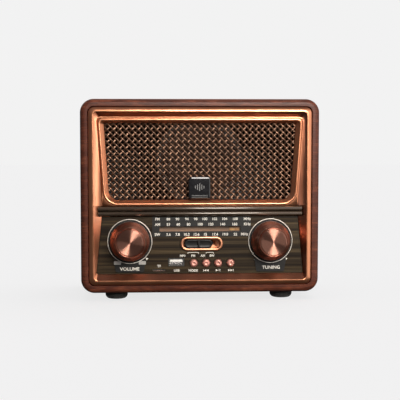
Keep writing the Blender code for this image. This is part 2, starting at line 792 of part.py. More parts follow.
def sockets():
    """The USB socket with its tongue, and the memory-card slot."""
    width, height = USB_SIZE
    outer = rectangle(width - 2 * GAP, height - 2 * GAP, 0.0008, USB_X, USB_Z)
    inner = rectangle(width - 0.0014, height - 0.0014, 0.0005, USB_X, USB_Z)
    shell = plate("usb_port", [outer, inner], (0.0036, 0.0150), "steel")
    join(shell, box("usb_back", (width - 2 * GAP, 0.0010, height - 2 * GAP), (USB_X, 0.0153, USB_Z)))
    box("usb_tongue", (0.0112, 0.0105, 0.0019), (USB_X, 0.0092, USB_Z + 0.0012), "white_plastic")
    card_outer = rectangle(0.0160, 0.0042, 0.0003, CARD_X, CARD_Z)
    card_inner = rectangle(CARD_SIZE[0], CARD_SIZE[1], 0.0002, CARD_X, CARD_Z)
    slot = plate("card_slot", [card_outer, card_inner], (0.0078, 0.0150), "steel")
    join(slot, box("card_back", (0.0150, 0.0012, 0.0040), (CARD_X, 0.0154, CARD_Z)))


# ---- dial drive ----


def drum_profile(radius, bore, thickness):
    """A grooved wheel: the groove's floor stays clear of the cord."""
    floor = radius - CORD_RADIUS - 2 * GAP
    rim = radius + 0.0009
    half = thickness / 2
    return (
        (bore, half),
        (rim, half),
        (rim, 0.0009),
        (floor, 0.0007),
        (floor, -0.0007),
        (rim, -0.0009),
        (rim, -half),
        (bore, -half),
    )


def dial_drive():
    """The drum on the tuning shaft, two idlers, the cord round all three, and the pointer on its rail."""
    turned("dial_drum", drum_profile(DRUM_RADIUS, SHAFT_RADIUS + GAP, 0.0052), "white_plastic",
           (KNOB_X, CORD_Y, KNOB_Z), closed=True, steps=24)
    for name, (x, z) in (("idler_pulley_left", LEFT_IDLER), ("idler_pulley_right", RIGHT_IDLER)):
        turned(name, drum_profile(IDLER_RADIUS, IDLER_POST_RADIUS + GAP, 0.0044), "white_plastic",
               (x, CORD_Y, z), closed=True, steps=14)
    drum = (KNOB_X, KNOB_Z, DRUM_RADIUS, 1)
    wheels = (drum, (*LEFT_IDLER, IDLER_RADIUS, 1), (*RIGHT_IDLER, IDLER_RADIUS, -1))
    tube("dial_cord", [(x, CORD_Y, z) for x, z in belt_path(wheels)], CORD_RADIUS, "thread", closed=True)
    rail()
    pointer()


def run_direction(first, second):
    """The heading of the straight run from one wheel to the next, for wheels as (x, z, radius, turn)."""
    dx, dz = second[0] - first[0], second[1] - first[1]
    offset = second[3] * second[2] - first[3] * first[2]
    along = math.sqrt(dx * dx + dz * dz - offset * offset)
    return math.atan2(dz, dx) - math.atan2(offset, along)


def belt_path(wheels):
    """Points of a belt round wheels in order, where turn is 1 for anticlockwise and -1 for clockwise."""
    points = []
    for index, wheel in enumerate(wheels):
        x, z, radius, turn = wheel
        quarter = math.radians(90) * turn
        start = run_direction(wheels[index - 1], wheel) - quarter
        end = run_direction(wheel, wheels[(index + 1) % len(wheels)]) - quarter
        sweep = ((end - start) * turn) % math.radians(360)
        steps = max(3, round(sweep / math.radians(18)))
        for step in range(steps + 1):
            angle = start + turn * sweep * step / steps
            points.append((x + radius * math.cos(angle), z + radius * math.sin(angle)))
    return points


def rail():
    """The coloured strip behind the window, which the pointer runs along, with a foot at each end."""
    strip = block("pointer_rail", (-0.0395, 0.0385), RAIL_Y, (0.0533, 0.0596), "copper")
    for index, x in enumerate((-0.0385, 0.0375)):
        join(strip, box(f"rail_foot_{index}", (0.0020, 0.0026, 0.0060), (x, 0.0091, 0.0565)))


def pointer():
    """The pointer's lit bar, its arm up past the rail, and the tab over the cord."""
    bar = block("tuning_pointer", POINTER_X, POINTER_Y, (0.0544, 0.0579), "amber", 0.0003)
    arm = block("pointer_arm", POINTER_ARM_X, (0.0079, POINTER_Y[1]), (0.0570, 0.0682))
    tab = block("pointer_tab", POINTER_ARM_X, (0.0079, 0.0158), (0.0665, 0.0682))
    join(bar, arm, tab)


# ---- boards and components ----


def component(name, x, height):
    """The square body behind a knob that takes its shaft."""
    across = (x - height / 2, x + height / 2)
    up = (KNOB_Z - height / 2, KNOB_Z + height / 2)
    body = block(name, across, COMPONENT_Y, up, "steel", 0.0008)
    bore_y = (COMPONENT_Y[0] - 0.0010, SHAFT_END_Y + GAP)
    cut(body, front_cylinder(f"{name}_bore", SHAFT_RADIUS + GAP, x, KNOB_Z, bore_y, steps=24))


def main_board():
    """The main board with its larger components soldered on, and clips for the ferrite rod."""
    half = MAIN_BOARD_HALF_WIDTH
    board = block("main_board", (-half, half), MAIN_BOARD_Y, (0.0140, 0.0740), "board")
    soldered = (
        ("amplifier_chip", (0.0110, 0.0030, 0.0180), (-0.0300, 0.0325, 0.0400)),
        ("tuner_chip", (0.0140, 0.0030, 0.0100), (0.0150, 0.0325, 0.0300)),
        ("player_chip", (0.0090, 0.0030, 0.0090), (-0.0040, 0.0325, 0.0240)),
        ("coil_can", (0.0080, 0.0110, 0.0080), (0.0420, 0.0365, 0.0500)),
        ("rod_clip_left", (0.0040, 0.0130, 0.0150), (-0.0500, 0.0375, 0.0650)),
        ("rod_clip_right", (0.0040, 0.0130, 0.0150), (0.0500, 0.0375, 0.0650)),
    )
    for name, size, centre in soldered:
        join(board, box(name, size, centre))
    for name, x, z in (("filter_capacitor", -0.0120, 0.0480), ("bypass_capacitor", 0.0040, 0.0500)):
        join(board, front_cylinder(name, 0.0045, x, z, (0.0305, 0.0430), steps=20))
    bore_length = ROD_LENGTH + 0.0200
    bore = cylinder("rod_bore", ROD_RADIUS + GAP, bore_length, (0, ROD_Y, ROD_Z), turn=FACING_RIGHT, steps=16)
    cut(board, bore)


def ferrite_antenna():
    """The medium-wave rod with its winding."""
    cylinder("ferrite_rod", ROD_RADIUS, ROD_LENGTH, (0, ROD_Y, ROD_Z), "ferrite", FACING_RIGHT, steps=16)
    inner, outer, half = ROD_RADIUS + GAP, ROD_RADIUS + 0.0014, COIL_LENGTH / 2
    profile = ((inner, half), (outer, half), (outer, -half), (inner, -half))
    turned("ferrite_coil", profile, "winding", (0.0200, ROD_Y, ROD_Z), FACING_RIGHT, closed=True, steps=16)


# ---- speaker ----


def speaker_basket(place):
    """The pressed frame, with four windows cut through its sides."""
    profile = ((0.0330, 0.0000), (SPEAKER_RADIUS, 0.0000), (SPEAKER_RADIUS, -0.0012), (0.0345, -0.0012),
               (0.0330, -0.0080), (0.0180, -0.0200), (0.0060, -0.0200), (0.0060, -0.0188), (0.0172, -0.0188),
               (0.0318, -0.0072))
    basket = turned("speaker_basket", profile, "steel", place, closed=True)
    for index, angle in enumerate((45, 135)):
        window = box(f"basket_window_{index}", (0.1000, 0.0060, 0.0140), (0, 0.0235, SPEAKER_Z))
        window.rotation_euler = (0, math.radians(angle), 0)
        cut(basket, window)


def speaker_cone(place):
    """Dust cap, cone and rolled surround in one, with the voice coil's tube behind."""
    profile = ((0, -0.0048), (0.0060, -0.0058), (0.0100, -0.0088), (0.0270, -0.0014), (0.0285, 0.0002),
               (0.0305, 0.0002), (0.0320, -0.0008), (0.0305, -0.0004), (0.0285, -0.0004), (0.0270, -0.0021),
               (0.0096, -0.0097), (0.0096, -0.0150), (0.0090, -0.0150), (0.0090, -0.0090), (0, -0.0055))
    turned("speaker_cone", profile, "paper_cone", place)


def speaker():
    """A round speaker behind the grille."""
    place = (0, SPEAKER_FRONT_Y, SPEAKER_Z)
    speaker_basket(place)
    speaker_cone(place)
    magnet = ((0, -0.0203), (0.0195, -0.0203), (0.0200, -0.0208), (0.0200, -0.0300), (0.0195, -0.0305),
              (0, -0.0305))
    turned("speaker_magnet", magnet, "ferrite", place, steps=20)


# ---- rear ----


def cover_openings():
    """Outlines of the doorway, the two socket holes and the vents."""
    door_z = DOOR_BOTTOM_Z + DOOR_SIZE[1] / 2
    openings = [
        rectangle(DOOR_SIZE[0] + 2 * GAP, DOOR_SIZE[1] + 2 * GAP, 0.0010, 0, door_z),
        circle(DC_BARREL_RADIUS + GAP, *DC_SPOT),
        circle(AUX_BARREL_RADIUS + GAP, *AUX_SPOT),
    ]
    for index in range(VENT_COUNT):
        openings.append(stadium(*VENT_SIZE, (index - (VENT_COUNT - 1) / 2) * VENT_PITCH, VENT_Z))
    return openings


def around_door(name, grow, ys):
    """A block over the doorway, larger than the door by `grow` on every side."""
    half_width = DOOR_SIZE[0] / 2 + grow
    zs = (DOOR_BOTTOM_Z - grow, DOOR_BOTTOM_Z + DOOR_SIZE[1] + grow)
    return block(name, (-half_width, half_width), ys, zs)


def rear_cover():
    """The black back: vents, battery tray, socket holes, antenna boss and the antenna's rest."""
    width = CABINET_WIDTH - 2 * CABINET_WALL - 2 * GAP
    height = CABINET_HEIGHT - 2 * CABINET_WALL - 2 * GAP
    edge = rectangle(width, height, BEZEL_CORNER, 0, MID_Z)
    cover = plate("rear_cover", [edge, *cover_openings()], COVER_Y, "black_plastic")
    past_cover = 0.1100
    boss = front_cylinder("antenna_boss", 0.0085, ANTENNA_X, ANTENNA_Z, (0.0930, 0.1030), steps=28)
    socket_hole = front_cylinder("antenna_socket", 0.0033, ANTENNA_X, ANTENNA_Z, (0.0950, past_cover))
    rest_z = (ANTENNA_Z - 0.0060, ANTENNA_Z - 0.0036)
    rest = block("antenna_rest", (-0.0480, -0.0420), (0.1020, 0.1130), rest_z)
    join(cover, around_door("battery_tray", TRAY_WALL, TRAY_Y), boss, rest)
    cut(cover, around_door("tray_hollow", -0.0008, (TRAY_Y[0] + TRAY_WALL, past_cover)))
    cut(cover, around_door("doorway", GAP, (TRAY_Y[1] - 0.0002, past_cover)), socket_hole)
    through, sunk = (0.1000, 0.1050), (0.1024, 0.1050)
    for index, (x, z) in enumerate(SCREW_SPOTS):
        hole = front_cylinder(f"cover_screw_hole_{index}", SCREW_HOLE_RADIUS, x, z, through, steps=10)
        seat = front_cylinder(f"screw_seat_{index}", 0.0034, x, z, sunk, steps=14)
        cut(cover, hole, seat)


def battery_door():
    """The lid over the battery, with its finger latch at the top. Its origin is on its lower outer edge."""
    height = DOOR_SIZE[1]
    shape = bmesh.new()
    bmesh.ops.create_cube(shape, size=1)
    bmesh.ops.scale(shape, vec=(DOOR_SIZE[0], 0.0024, height), verts=shape.verts)
    bmesh.ops.translate(shape, vec=(0, -0.0012, height / 2), verts=shape.verts)
    door = add("battery_door", finished_mesh("battery_door", shape), "black_plastic",
               (0, COVER_Y[1], DOOR_BOTTOM_Z))
    grip = box("door_grip", (0.0160, 0.0030, 0.0060), (0, COVER_Y[1], DOOR_BOTTOM_Z + height - 0.0055))
    cut(door, grip)


def battery():
    """One round rechargeable cell lying in the tray."""
    half = CELL_LENGTH / 2
    cap, shoulder = 0.0030, CELL_RADIUS - 0.0006
    profile = ((0, half), (cap, half), (cap, half - 0.0012), (shoulder, half - 0.0012),
               (CELL_RADIUS, half - 0.0018), (CELL_RADIUS, -half + 0.0006), (shoulder, -half), (0, -half))
    turned("battery_cell", profile, "blue_wrap", (CELL_X, CELL_Y, CELL_Z), FACING_RIGHT, steps=20)


def battery_spring():
    """The coiled contact at the cell's flat end, narrowing towards the cell."""
    turns, length, radius, taper = 3, 0.0062, 0.0036, 0.35
    start_x = -DOOR_SIZE[0] / 2 + 0.0018
    steps = 9 * turns
    points = []
    for step in range(steps + 1):
        share = step / steps
        angle = math.radians(360) * turns * share
        reach = radius * (1 - taper * share)
        place = (start_x + length * share, CELL_Y + reach * math.cos(angle), CELL_Z + reach * math.sin(angle))
        points.append(place)
    tube("battery_spring", points, 0.0004, "steel")


def rear_socket(name, spot, half, barrel_radius, bore_radius):
    """A round socket: a square body inside the cover and a bored barrel that fills the cover's hole."""
    x, z = spot
    depth = (0.0890, COVER_Y[0] - GAP)
    body = block(name, (x - half, x + half), depth, (z - half, z + half), "black_plastic", 0.0004)
    join(body, front_cylinder(f"{name}_barrel", barrel_radius, x, z, SOCKET_Y, steps=20))
    cut(body, front_cylinder(f"{name}_bore", bore_radius, x, z, (0.0930, SOCKET_Y[1] + 0.0020), steps=16))
    return body


def rear_sockets():
    """The charging socket, with its centre pin, and the audio socket."""
    charging = rear_socket("dc_socket", DC_SPOT, 0.0055, DC_BARREL_RADIUS, 0.0028)
    join(charging, front_cylinder("dc_pin", 0.0008, *DC_SPOT, (0.0920, 0.1020), steps=8))
    rear_socket("aux_socket", AUX_SPOT, 0.0035, AUX_BARREL_RADIUS, 0.0018)


def rear_screws():
    profile = ((0, 0.0006), (0.0022, 0.0004), (0.0031, -0.0003), (0.0031, -0.0009), (0.0014, -0.0009),
               (0.0014, -0.0140), (0, -0.0150))
    for index, (x, z) in enumerate(SCREW_SPOTS, 1):
        turned(f"rear_screw_{index}", profile, "steel", (x, 0.1036, z), FACING_BACK, steps=12)


# ---- antenna ----


def antenna():
    """The antenna folded flat along the back: swivel, tilting root and three sections that pull out."""
    swivel_profile = ((0, 0.0022), (0.0062, 0.0022), (0.0062, 0.0000), (0.0030, 0.0000), (0.0030, -0.0080),
                      (0, -0.0080))
    base = turned("antenna_swivel", swivel_profile, "steel", (ANTENNA_X, COVER_Y[1] + GAP, ANTENNA_Z),
                  FACING_BACK, steps=18)
    ear_inner, ear_outer = 0.0023, 0.0040
    for name, sign in (("upper_ear", 1), ("lower_ear", -1)):
        low, high = sorted((sign * ear_inner, sign * ear_outer))
        join(base, block(name, (ANTENNA_X - 0.0034, ANTENNA_X + 0.0034), (0.1060, ANTENNA_REACH),
                         (ANTENNA_Z + low, ANTENNA_Z + high)))
    centre = (ANTENNA_X, ANTENNA_Y, ANTENNA_Z)
    join(base, cylinder("tilt_pin", 0.0010, 0.0070, centre, turn=UPRIGHT, steps=16))
    section_tubes()


def section_profile(outer, inner, start, end):
    """A tube closed at its root, or for the last section a rod with a round tip."""
    if inner:
        floor = start - 0.0015
        return ((0, start), (outer - 0.0002, start), (outer, start - 0.0002), (outer, end), (inner, end),
                (inner, floor), (0, floor))
    tip, neck = 0.0032, end - 0.0005
    return ((0, start), (outer, start), (outer, neck), (tip - 0.0006, neck), (tip, end - 0.0011),
            (tip, end - 0.0055), (tip - 0.0008, end - 0.0065), (0, end - 0.0065))


def section_tubes():
    """Each section's tube or rod, one inside another, pointing left at rest."""
    root_x = ANTENNA_X - 0.0050
    for index, (outer, inner) in enumerate(SECTIONS):
        start = root_x - 0.0020 * index
        profile = section_profile(outer, inner, start, start - SECTION_LENGTH)
        name = f"antenna_section_{index + 1}"
        rod = turned(name, profile, "steel", (0, ANTENNA_Y, ANTENNA_Z), FACING_RIGHT, steps=14)
        if index == 0:
            antenna_root(rod, root_x)


def antenna_root(rod, root_x):
    """The first section's flat neck and bored eye, between the swivel's ears."""
    centre = (ANTENNA_X, ANTENNA_Y, ANTENNA_Z)
    half = 0.0022
    eye = cylinder("antenna_eye", 0.0031, 0.0040, centre, turn=UPRIGHT)
    neck = block("antenna_neck", (root_x - 0.0010, ANTENNA_X), (ANTENNA_Y - half, ANTENNA_Y + half),
                 (ANTENNA_Z - 0.0020, ANTENNA_Z + 0.0020))
    join(rod, eye, neck)
    cut(rod, cylinder("pin_hole", 0.0013, 0.0080, centre, turn=UPRIGHT, steps=16))


def build():
    cabinet_sleeve()
    feet()
    front_bezel()
    speaker_grille()
    grille_badge()
    trim_bar()
    dial_panel()
    scale_window()
    knob("volume", -KNOB_X)
    knob("tuning", KNOB_X)
    shafts()
    band_switch()
    buttons()
    key_board()
    sockets()
    dial_drive()
    component("volume_potentiometer", -KNOB_X, 0.0170)
    component("tuning_capacitor", KNOB_X, 0.0200)
    main_board()
    ferrite_antenna()
    speaker()
    rear_cover()
    battery_door()
    battery()
    battery_spring()
    rear_sockets()
    rear_screws()
    antenna()


build()
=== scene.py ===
import math

import bmesh
import bpy
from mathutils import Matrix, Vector


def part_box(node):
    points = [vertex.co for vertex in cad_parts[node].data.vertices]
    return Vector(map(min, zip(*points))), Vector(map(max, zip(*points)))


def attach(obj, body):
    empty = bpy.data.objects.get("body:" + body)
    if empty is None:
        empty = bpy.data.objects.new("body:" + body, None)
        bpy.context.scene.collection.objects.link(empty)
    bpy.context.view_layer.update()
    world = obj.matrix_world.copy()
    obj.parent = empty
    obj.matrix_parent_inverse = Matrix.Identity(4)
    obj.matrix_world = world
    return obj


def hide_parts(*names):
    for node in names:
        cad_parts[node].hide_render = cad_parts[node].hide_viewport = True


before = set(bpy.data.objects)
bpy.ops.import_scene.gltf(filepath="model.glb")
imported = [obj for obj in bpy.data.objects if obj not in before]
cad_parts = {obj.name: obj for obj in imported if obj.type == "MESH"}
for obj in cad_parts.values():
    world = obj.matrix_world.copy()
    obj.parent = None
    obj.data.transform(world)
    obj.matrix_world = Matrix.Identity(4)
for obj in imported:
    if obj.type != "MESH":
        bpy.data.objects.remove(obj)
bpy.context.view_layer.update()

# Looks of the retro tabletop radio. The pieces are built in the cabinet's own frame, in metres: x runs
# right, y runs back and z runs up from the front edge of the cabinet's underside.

# ---- places and sizes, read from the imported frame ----
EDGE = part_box("cabinet_sleeve")[0]
ORIGIN = Vector((0, EDGE.y, EDGE.z))


def local_box(node):
    """A CAD node's lowest and highest corners in the cabinet's frame."""
    low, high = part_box(node)
    return low - ORIGIN, high - ORIGIN


def middle(node):
    low, high = local_box(node)
    return (low + high) / 2


SLEEVE_LOW, SLEEVE_HIGH = local_box("cabinet_sleeve")
CABINET_WIDTH = SLEEVE_HIGH.x - SLEEVE_LOW.x
CABINET_HEIGHT = SLEEVE_HIGH.z
CABINET_DEPTH = SLEEVE_HIGH.y
BEZEL_LOW, BEZEL_HIGH = local_box("front_bezel")
MESH_LOW, MESH_HIGH = local_box("speaker_grille")
PANEL_LOW, PANEL_HIGH = local_box("dial_panel")
TRIM_LOW, TRIM_HIGH = local_box("trim_bar")
BADGE_LOW, BADGE_HIGH = local_box("grille_badge")
KNOB_X = middle("tuning_knob").x
KNOB_Z = middle("tuning_knob").z
MID_Z = CABINET_HEIGHT / 2

# ---- the shapes inside those boxes ----
GAP = 0.0003
CABINET_WALL = 0.0066
CABINET_CORNER = 0.0120
FRONT_ROUNDING = 0.0045
BEZEL_CORNER = 0.0056
WAIST_TOP_Z = 0.0763
WAIST_BOTTOM_Z = 0.0679
GRILLE_TOP_Z = 0.1548
PANEL_BOTTOM_Z = 0.0165
HALF_AT_GRILLE_TOP = 0.0908
HALF_AT_WAIST_TOP = 0.0856
HALF_AT_WAIST_BOTTOM = 0.0866
HALF_AT_PANEL_BOTTOM = 0.0917
MESH_HALF_TOP = 0.0845
MESH_HALF_BOTTOM = 0.0800
MESH_TOP_Z = 0.1502
MESH_BOTTOM_Z = 0.0818
PLATE_FRONT_Y = 0.0048
PLATE_BACK_Y = 0.0075
WAIST_ROUNDING = 0.0030
SWITCH_X = 0.0011
SWITCH_Z = 0.0432
SWITCH_RECESS = (0.0327, 0.0086)
WINDOW_X = (-0.0360, 0.0357)
WINDOW_Z = (0.0540, 0.0583)
BUTTON_NAMES = ("mode_button", "previous_button", "play_button", "next_button")
BUTTON_RADIUS = 0.00355
SCREW_SPOTS = ((-0.0880, 0.0160), (0.0880, 0.0160), (-0.0880, 0.1540), (0.0880, 0.1320))
SCREW_HOLE = 0.0017
SCREW_COUNTERBORE = 0.0034
SWIVEL_HOLE = 0.0033
COVER_Y = (0.1010, 0.1040)
VENTS_Z = 0.1000
VENT_XS = [0.0090 * index for index in range(-3, 4)]
ANTENNA_SECTIONS = ((0.00325, 0.00275), (0.00245, 0.00195), (0.00165, 0.00120), (0.00090, None))

ARC_STEPS = 10
SAME_POINT = 0.000002
FACING_FRONT = (math.radians(90), 0, 0)
FACING_BACK = (math.radians(-90), 0, 0)
FACING_RIGHT = (0, math.radians(90), 0)
UPRIGHT = (0, 0, 0)


# ---- outlines in the XZ plane ----


def corner_arc(before, corner, after, distance, steps):
    """Points of the arc that starts `distance` before a corner and ends as far after it."""
    to_before = (Vector(before) - Vector(corner)).normalized()
    to_after = (Vector(after) - Vector(corner)).normalized()
    start = Vector(corner) + distance * to_before
    end = Vector(corner) + distance * to_after
    weight = math.sin(to_before.angle(to_after) / 2)
    points = []
    for step in range(steps + 1):
        t = step / steps
        shares = ((1 - t) ** 2, 2 * t * (1 - t) * weight, t**2)
        points.append((shares[0] * start + shares[1] * Vector(corner) + shares[2] * end) / sum(shares))
    return points


def outline(corners, steps=ARC_STEPS):
    """A closed outline through (x, z, distance) corners, each rounded from `distance` before it."""
    points = []
    for index, (x, z, distance) in enumerate(corners):
        before = corners[index - 1][:2]
        after = corners[(index + 1) % len(corners)][:2]
        if distance:
            points += corner_arc(before, (x, z), after, distance, steps)
        else:
            points.append(Vector((x, z)))
    return points


def without_repeats(points):
    return [point for index, point in enumerate(points) if (point - points[index - 1]).length > SAME_POINT]


def rectangle(width, height, radius, x=0.0, z=0.0, steps=ARC_STEPS):
    right, left = x + width / 2, x - width / 2
    top, bottom = z + height / 2, z - height / 2
    corners = [(right, top, radius), (left, top, radius), (left, bottom, radius), (right, bottom, radius)]
    return outline(corners, steps)


def stadium(width, height, x, z):
    return rectangle(width, height, min(width, height) / 2 * 0.9999, x, z)


def sweep(degrees, steps):
    """Angles from 0 to `degrees`, in radians."""
    return [math.radians(degrees) * step / steps for step in range(steps + 1)]


def circle(radius, x, z, steps=64):
    angles = [math.tau * step / steps for step in range(steps)]
    return [Vector((x + radius * math.cos(angle), z + radius * math.sin(angle))) for angle in angles]


def trapezoid(top_half, bottom_half, top_z, bottom_z, top_radius, bottom_radius):
    return outline([
        (top_half, top_z, top_radius),
        (-top_half, top_z, top_radius),
        (-bottom_half, bottom_z, bottom_radius),
        (bottom_half, bottom_z, bottom_radius),
    ])


def at_depth(points, y):
    return [(x, y, z) for x, z in points]


# ---- meshes ----


def finished_mesh(name, shape, sharp=30):
    """The mesh of a bmesh, faces outward, smooth but for edges sharper than `sharp` degrees."""
    bmesh.ops.remove_doubles(shape, verts=shape.verts, dist=SAME_POINT / 2)
    bmesh.ops.recalc_face_normals(shape, faces=shape.faces)
    mesh = bpy.data.meshes.new(name)
    shape.to_mesh(mesh)
    shape.free()
    mesh.shade_smooth()
    mesh.set_sharp_from_angle(angle=math.radians(sharp))
    return mesh


def join_rows(shape, rows, looped):
    """Faces between each row of vertices and the next, and from last to first if looped."""
    pairs = list(zip(rows, rows[1:]))
    if looped:
        pairs.append((rows[-1], rows[0]))
    count = len(rows[0])
    for row, following in pairs:
        for spot in range(count):
            beside = (spot + 1) % count
            ring = (row[spot], row[beside], following[beside], following[spot])
            corners = [vert for index, vert in enumerate(ring) if vert not in ring[:index]]
            if len(corners) > 2:
                shape.faces.new(corners)


def lofted(name, rings, looped=False, sharp=30):
    """A solid through closed rings of points: a frame if looped, or else closed by its end rings."""
    shape = bmesh.new()
    rows = [[shape.verts.new(point) for point in ring] for ring in rings]
    if not looped:
        shape.faces.new(rows[0])
        shape.faces.new(rows[-1])
    join_rows(shape, rows, looped)
    return finished_mesh(name, shape, sharp)


def turned_mesh(name, profile, steps=72, closed=False):
    """A solid of revolution about local Z, from (radius, height) points. Points on the axis are poles."""
    shape = bmesh.new()
    angles = [math.tau * step / steps for step in range(steps)]
    rows = []
    for radius, height in profile:
        if radius < SAME_POINT:
            rows.append([shape.verts.new((0, 0, height))] * steps)
        else:
            row = [(radius * math.cos(angle), radius * math.sin(angle), height) for angle in angles]
            rows.append([shape.verts.new(point) for point in row])
    join_rows(shape, rows, closed)
    return finished_mesh(name, shape)


def rounded_profile(corners, rounding, steps=4):
    """A turned profile whose inner corners are rounded; corners are (radius, height)."""
    points = [Vector(corners[0])]
    for before, corner, after in zip(corners, corners[1:], corners[2:]):
        reach = min(
            rounding,
            0.45 * (Vector(before) - Vector(corner)).length,
            0.45 * (Vector(after) - Vector(corner)).length,
        )
        points += corner_arc(before, corner, after, reach, steps)
    points.append(Vector(corners[-1]))
    return [tuple(point) for point in points]


def filled_mesh(name, outlines, ys, sharp=40):
    """A flat piece in the XZ plane between two depths. Outlines inside others are its openings."""
    curve = bpy.data.curves.new(name, "CURVE")
    curve.dimensions = "2D"
    curve.fill_mode = "BOTH"
    curve.extrude = (ys[1] - ys[0]) / 2
    for points in outlines:
        kept = without_repeats(points)
        spline = curve.splines.new("POLY")
        spline.points.add(len(kept) - 1)
        for point, (x, z) in zip(spline.points, kept):
            point.co = (x, z, 0, 1)
        spline.use_cyclic_u = True
    source = bpy.data.objects.new(f"{name}_curve", curve)
    shape = shape_of(source)
    bpy.data.curves.remove(curve)
    flat = [face for face in shape.faces if abs(face.normal.z) > 0.9]
    inner = [edge for edge in shape.edges if len(edge.link_faces) == 2 and edge.calc_face_angle(0) < 0.01]
    bmesh.ops.beautify_fill(shape, faces=flat, edges=inner)
    middle_y = (ys[0] + ys[1]) / 2
    for vert in shape.verts:
        x, z, depth = vert.co
        vert.co = (x, middle_y - depth, z)
    return finished_mesh(name, shape, sharp)


def shape_of(source):
    """The evaluated mesh of a loose curve or text object as a bmesh. The object is removed."""
    bpy.context.scene.collection.objects.link(source)
    bpy.context.view_layer.update()
    mesh = bpy.data.meshes.new_from_object(source.evaluated_get(bpy.context.evaluated_depsgraph_get()))
    bpy.data.objects.remove(source, do_unlink=True)
    shape = bmesh.new()
    shape.from_mesh(mesh)
    bmesh.ops.remove_doubles(shape, verts=shape.verts, dist=SAME_POINT)
    bpy.data.meshes.remove(mesh)
    return shape


def block_shape(xs, ys, zs):
    shape = bmesh.new()
    bmesh.ops.create_cube(shape, size=1)
    bmesh.ops.scale(shape, vec=(xs[1] - xs[0], ys[1] - ys[0], zs[1] - zs[0]), verts=shape.verts)
    centre = ((xs[0] + xs[1]) / 2, (ys[0] + ys[1]) / 2, (zs[0] + zs[1]) / 2)
    bmesh.ops.translate(shape, vec=centre, verts=shape.verts)
    return shape


def block_mesh(name, xs, ys, zs):
    return finished_mesh(name, block_shape(xs, ys, zs))


def joined_mesh(name, meshes, sharp=30):
    """One mesh of several separate solids."""
    shape = bmesh.new()
    for mesh in meshes:
        shape.from_mesh(mesh)
        bpy.data.meshes.remove(mesh)
    return finished_mesh(name, shape, sharp)


def swept_mesh(name, points, radii):
    """A tube along points whose oval section has `radii` across the path, level and upright."""
    sides = 8
    angles = [math.tau * step / sides for step in range(sides)]
    rings = []
    for index, point in enumerate(points):
        ahead = points[min(index + 1, len(points) - 1)]
        behind = points[max(index - 1, 0)]
        along = (ahead - behind).normalized()
        side = along.cross(Vector((0, 1, 0))).normalized()
        out = side.cross(along).normalized()
        level, upright = radii[0] * side, radii[1] * out
        rings.append([point + math.cos(angle) * level + math.sin(angle) * upright for angle in angles])
    return lofted(name, rings, sharp=60)


# ---- pieces ----


def add_piece(name, mesh, look, body="cabinet", replaces=(), place=(0, 0, 0), turn=UPRIGHT):
    """A finished piece that rides on a body, with its look as its material."""
    obj = bpy.data.objects.new(name, mesh)
    bpy.context.scene.collection.objects.link(obj)
    obj.location = ORIGIN + Vector(place)
    obj.rotation_euler = turn
    mesh.materials.clear()
    mesh.materials.append(LOOKS[look])
    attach(obj, body)
    if replaces:
        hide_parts(*replaces)
    return obj


def bevel(obj, width, segments=3):
    """Rounds a piece's edges where they turn by more than 40 degrees."""
    made = obj.modifiers.new("rounded_edges", "BEVEL")
    made.width = width
    made.segments = segments
    made.limit_method = "ANGLE"
    made.angle_limit = math.radians(40)
    made.harden_normals = True
    made.use_clamp_overlap = True


def boolean(obj, mesh, operation):
    """Joins a mesh to a piece, or cuts it away. The tool is hidden, and not part of the radio."""
    tool = bpy.data.objects.new(mesh.name, mesh)
    bpy.context.scene.collection.objects.link(tool)
    tool.matrix_world = obj.matrix_world
    tool.hide_render = True
    tool.hide_viewport = True
    made = obj.modifiers.new(mesh.name, "BOOLEAN")
    made.operation = operation
    made.solver = "EXACT"
    made.object = tool


# ---- materials ----

NOISE_LOW, NOISE_HIGH = 0.3, 0.7  # where nearly all of a noise's values lie


def add_node(tree, kind, inputs=(), **settings):
    """A node whose inputs are plain values, or the sockets that they are linked from."""
    made = tree.nodes.new(kind)
    for setting, value in settings.items():
        setattr(made, setting, value)
    for socket, value in dict(inputs).items():
        if isinstance(value, bpy.types.NodeSocket):
            tree.links.new(value, made.inputs[socket])
        else:
            made.inputs[socket].default_value = value
    return made


def add_ramp(tree, value, stops):
    made = add_node(tree, "ShaderNodeValToRGB", {"Fac": value})
    elements = made.color_ramp.elements
    while len(elements) < len(stops):
        elements.new(0.5)
    for element, (position, colour) in zip(elements, stops):
        element.position = position
        element.color = (*colour, 1)
    return made.outputs[0]


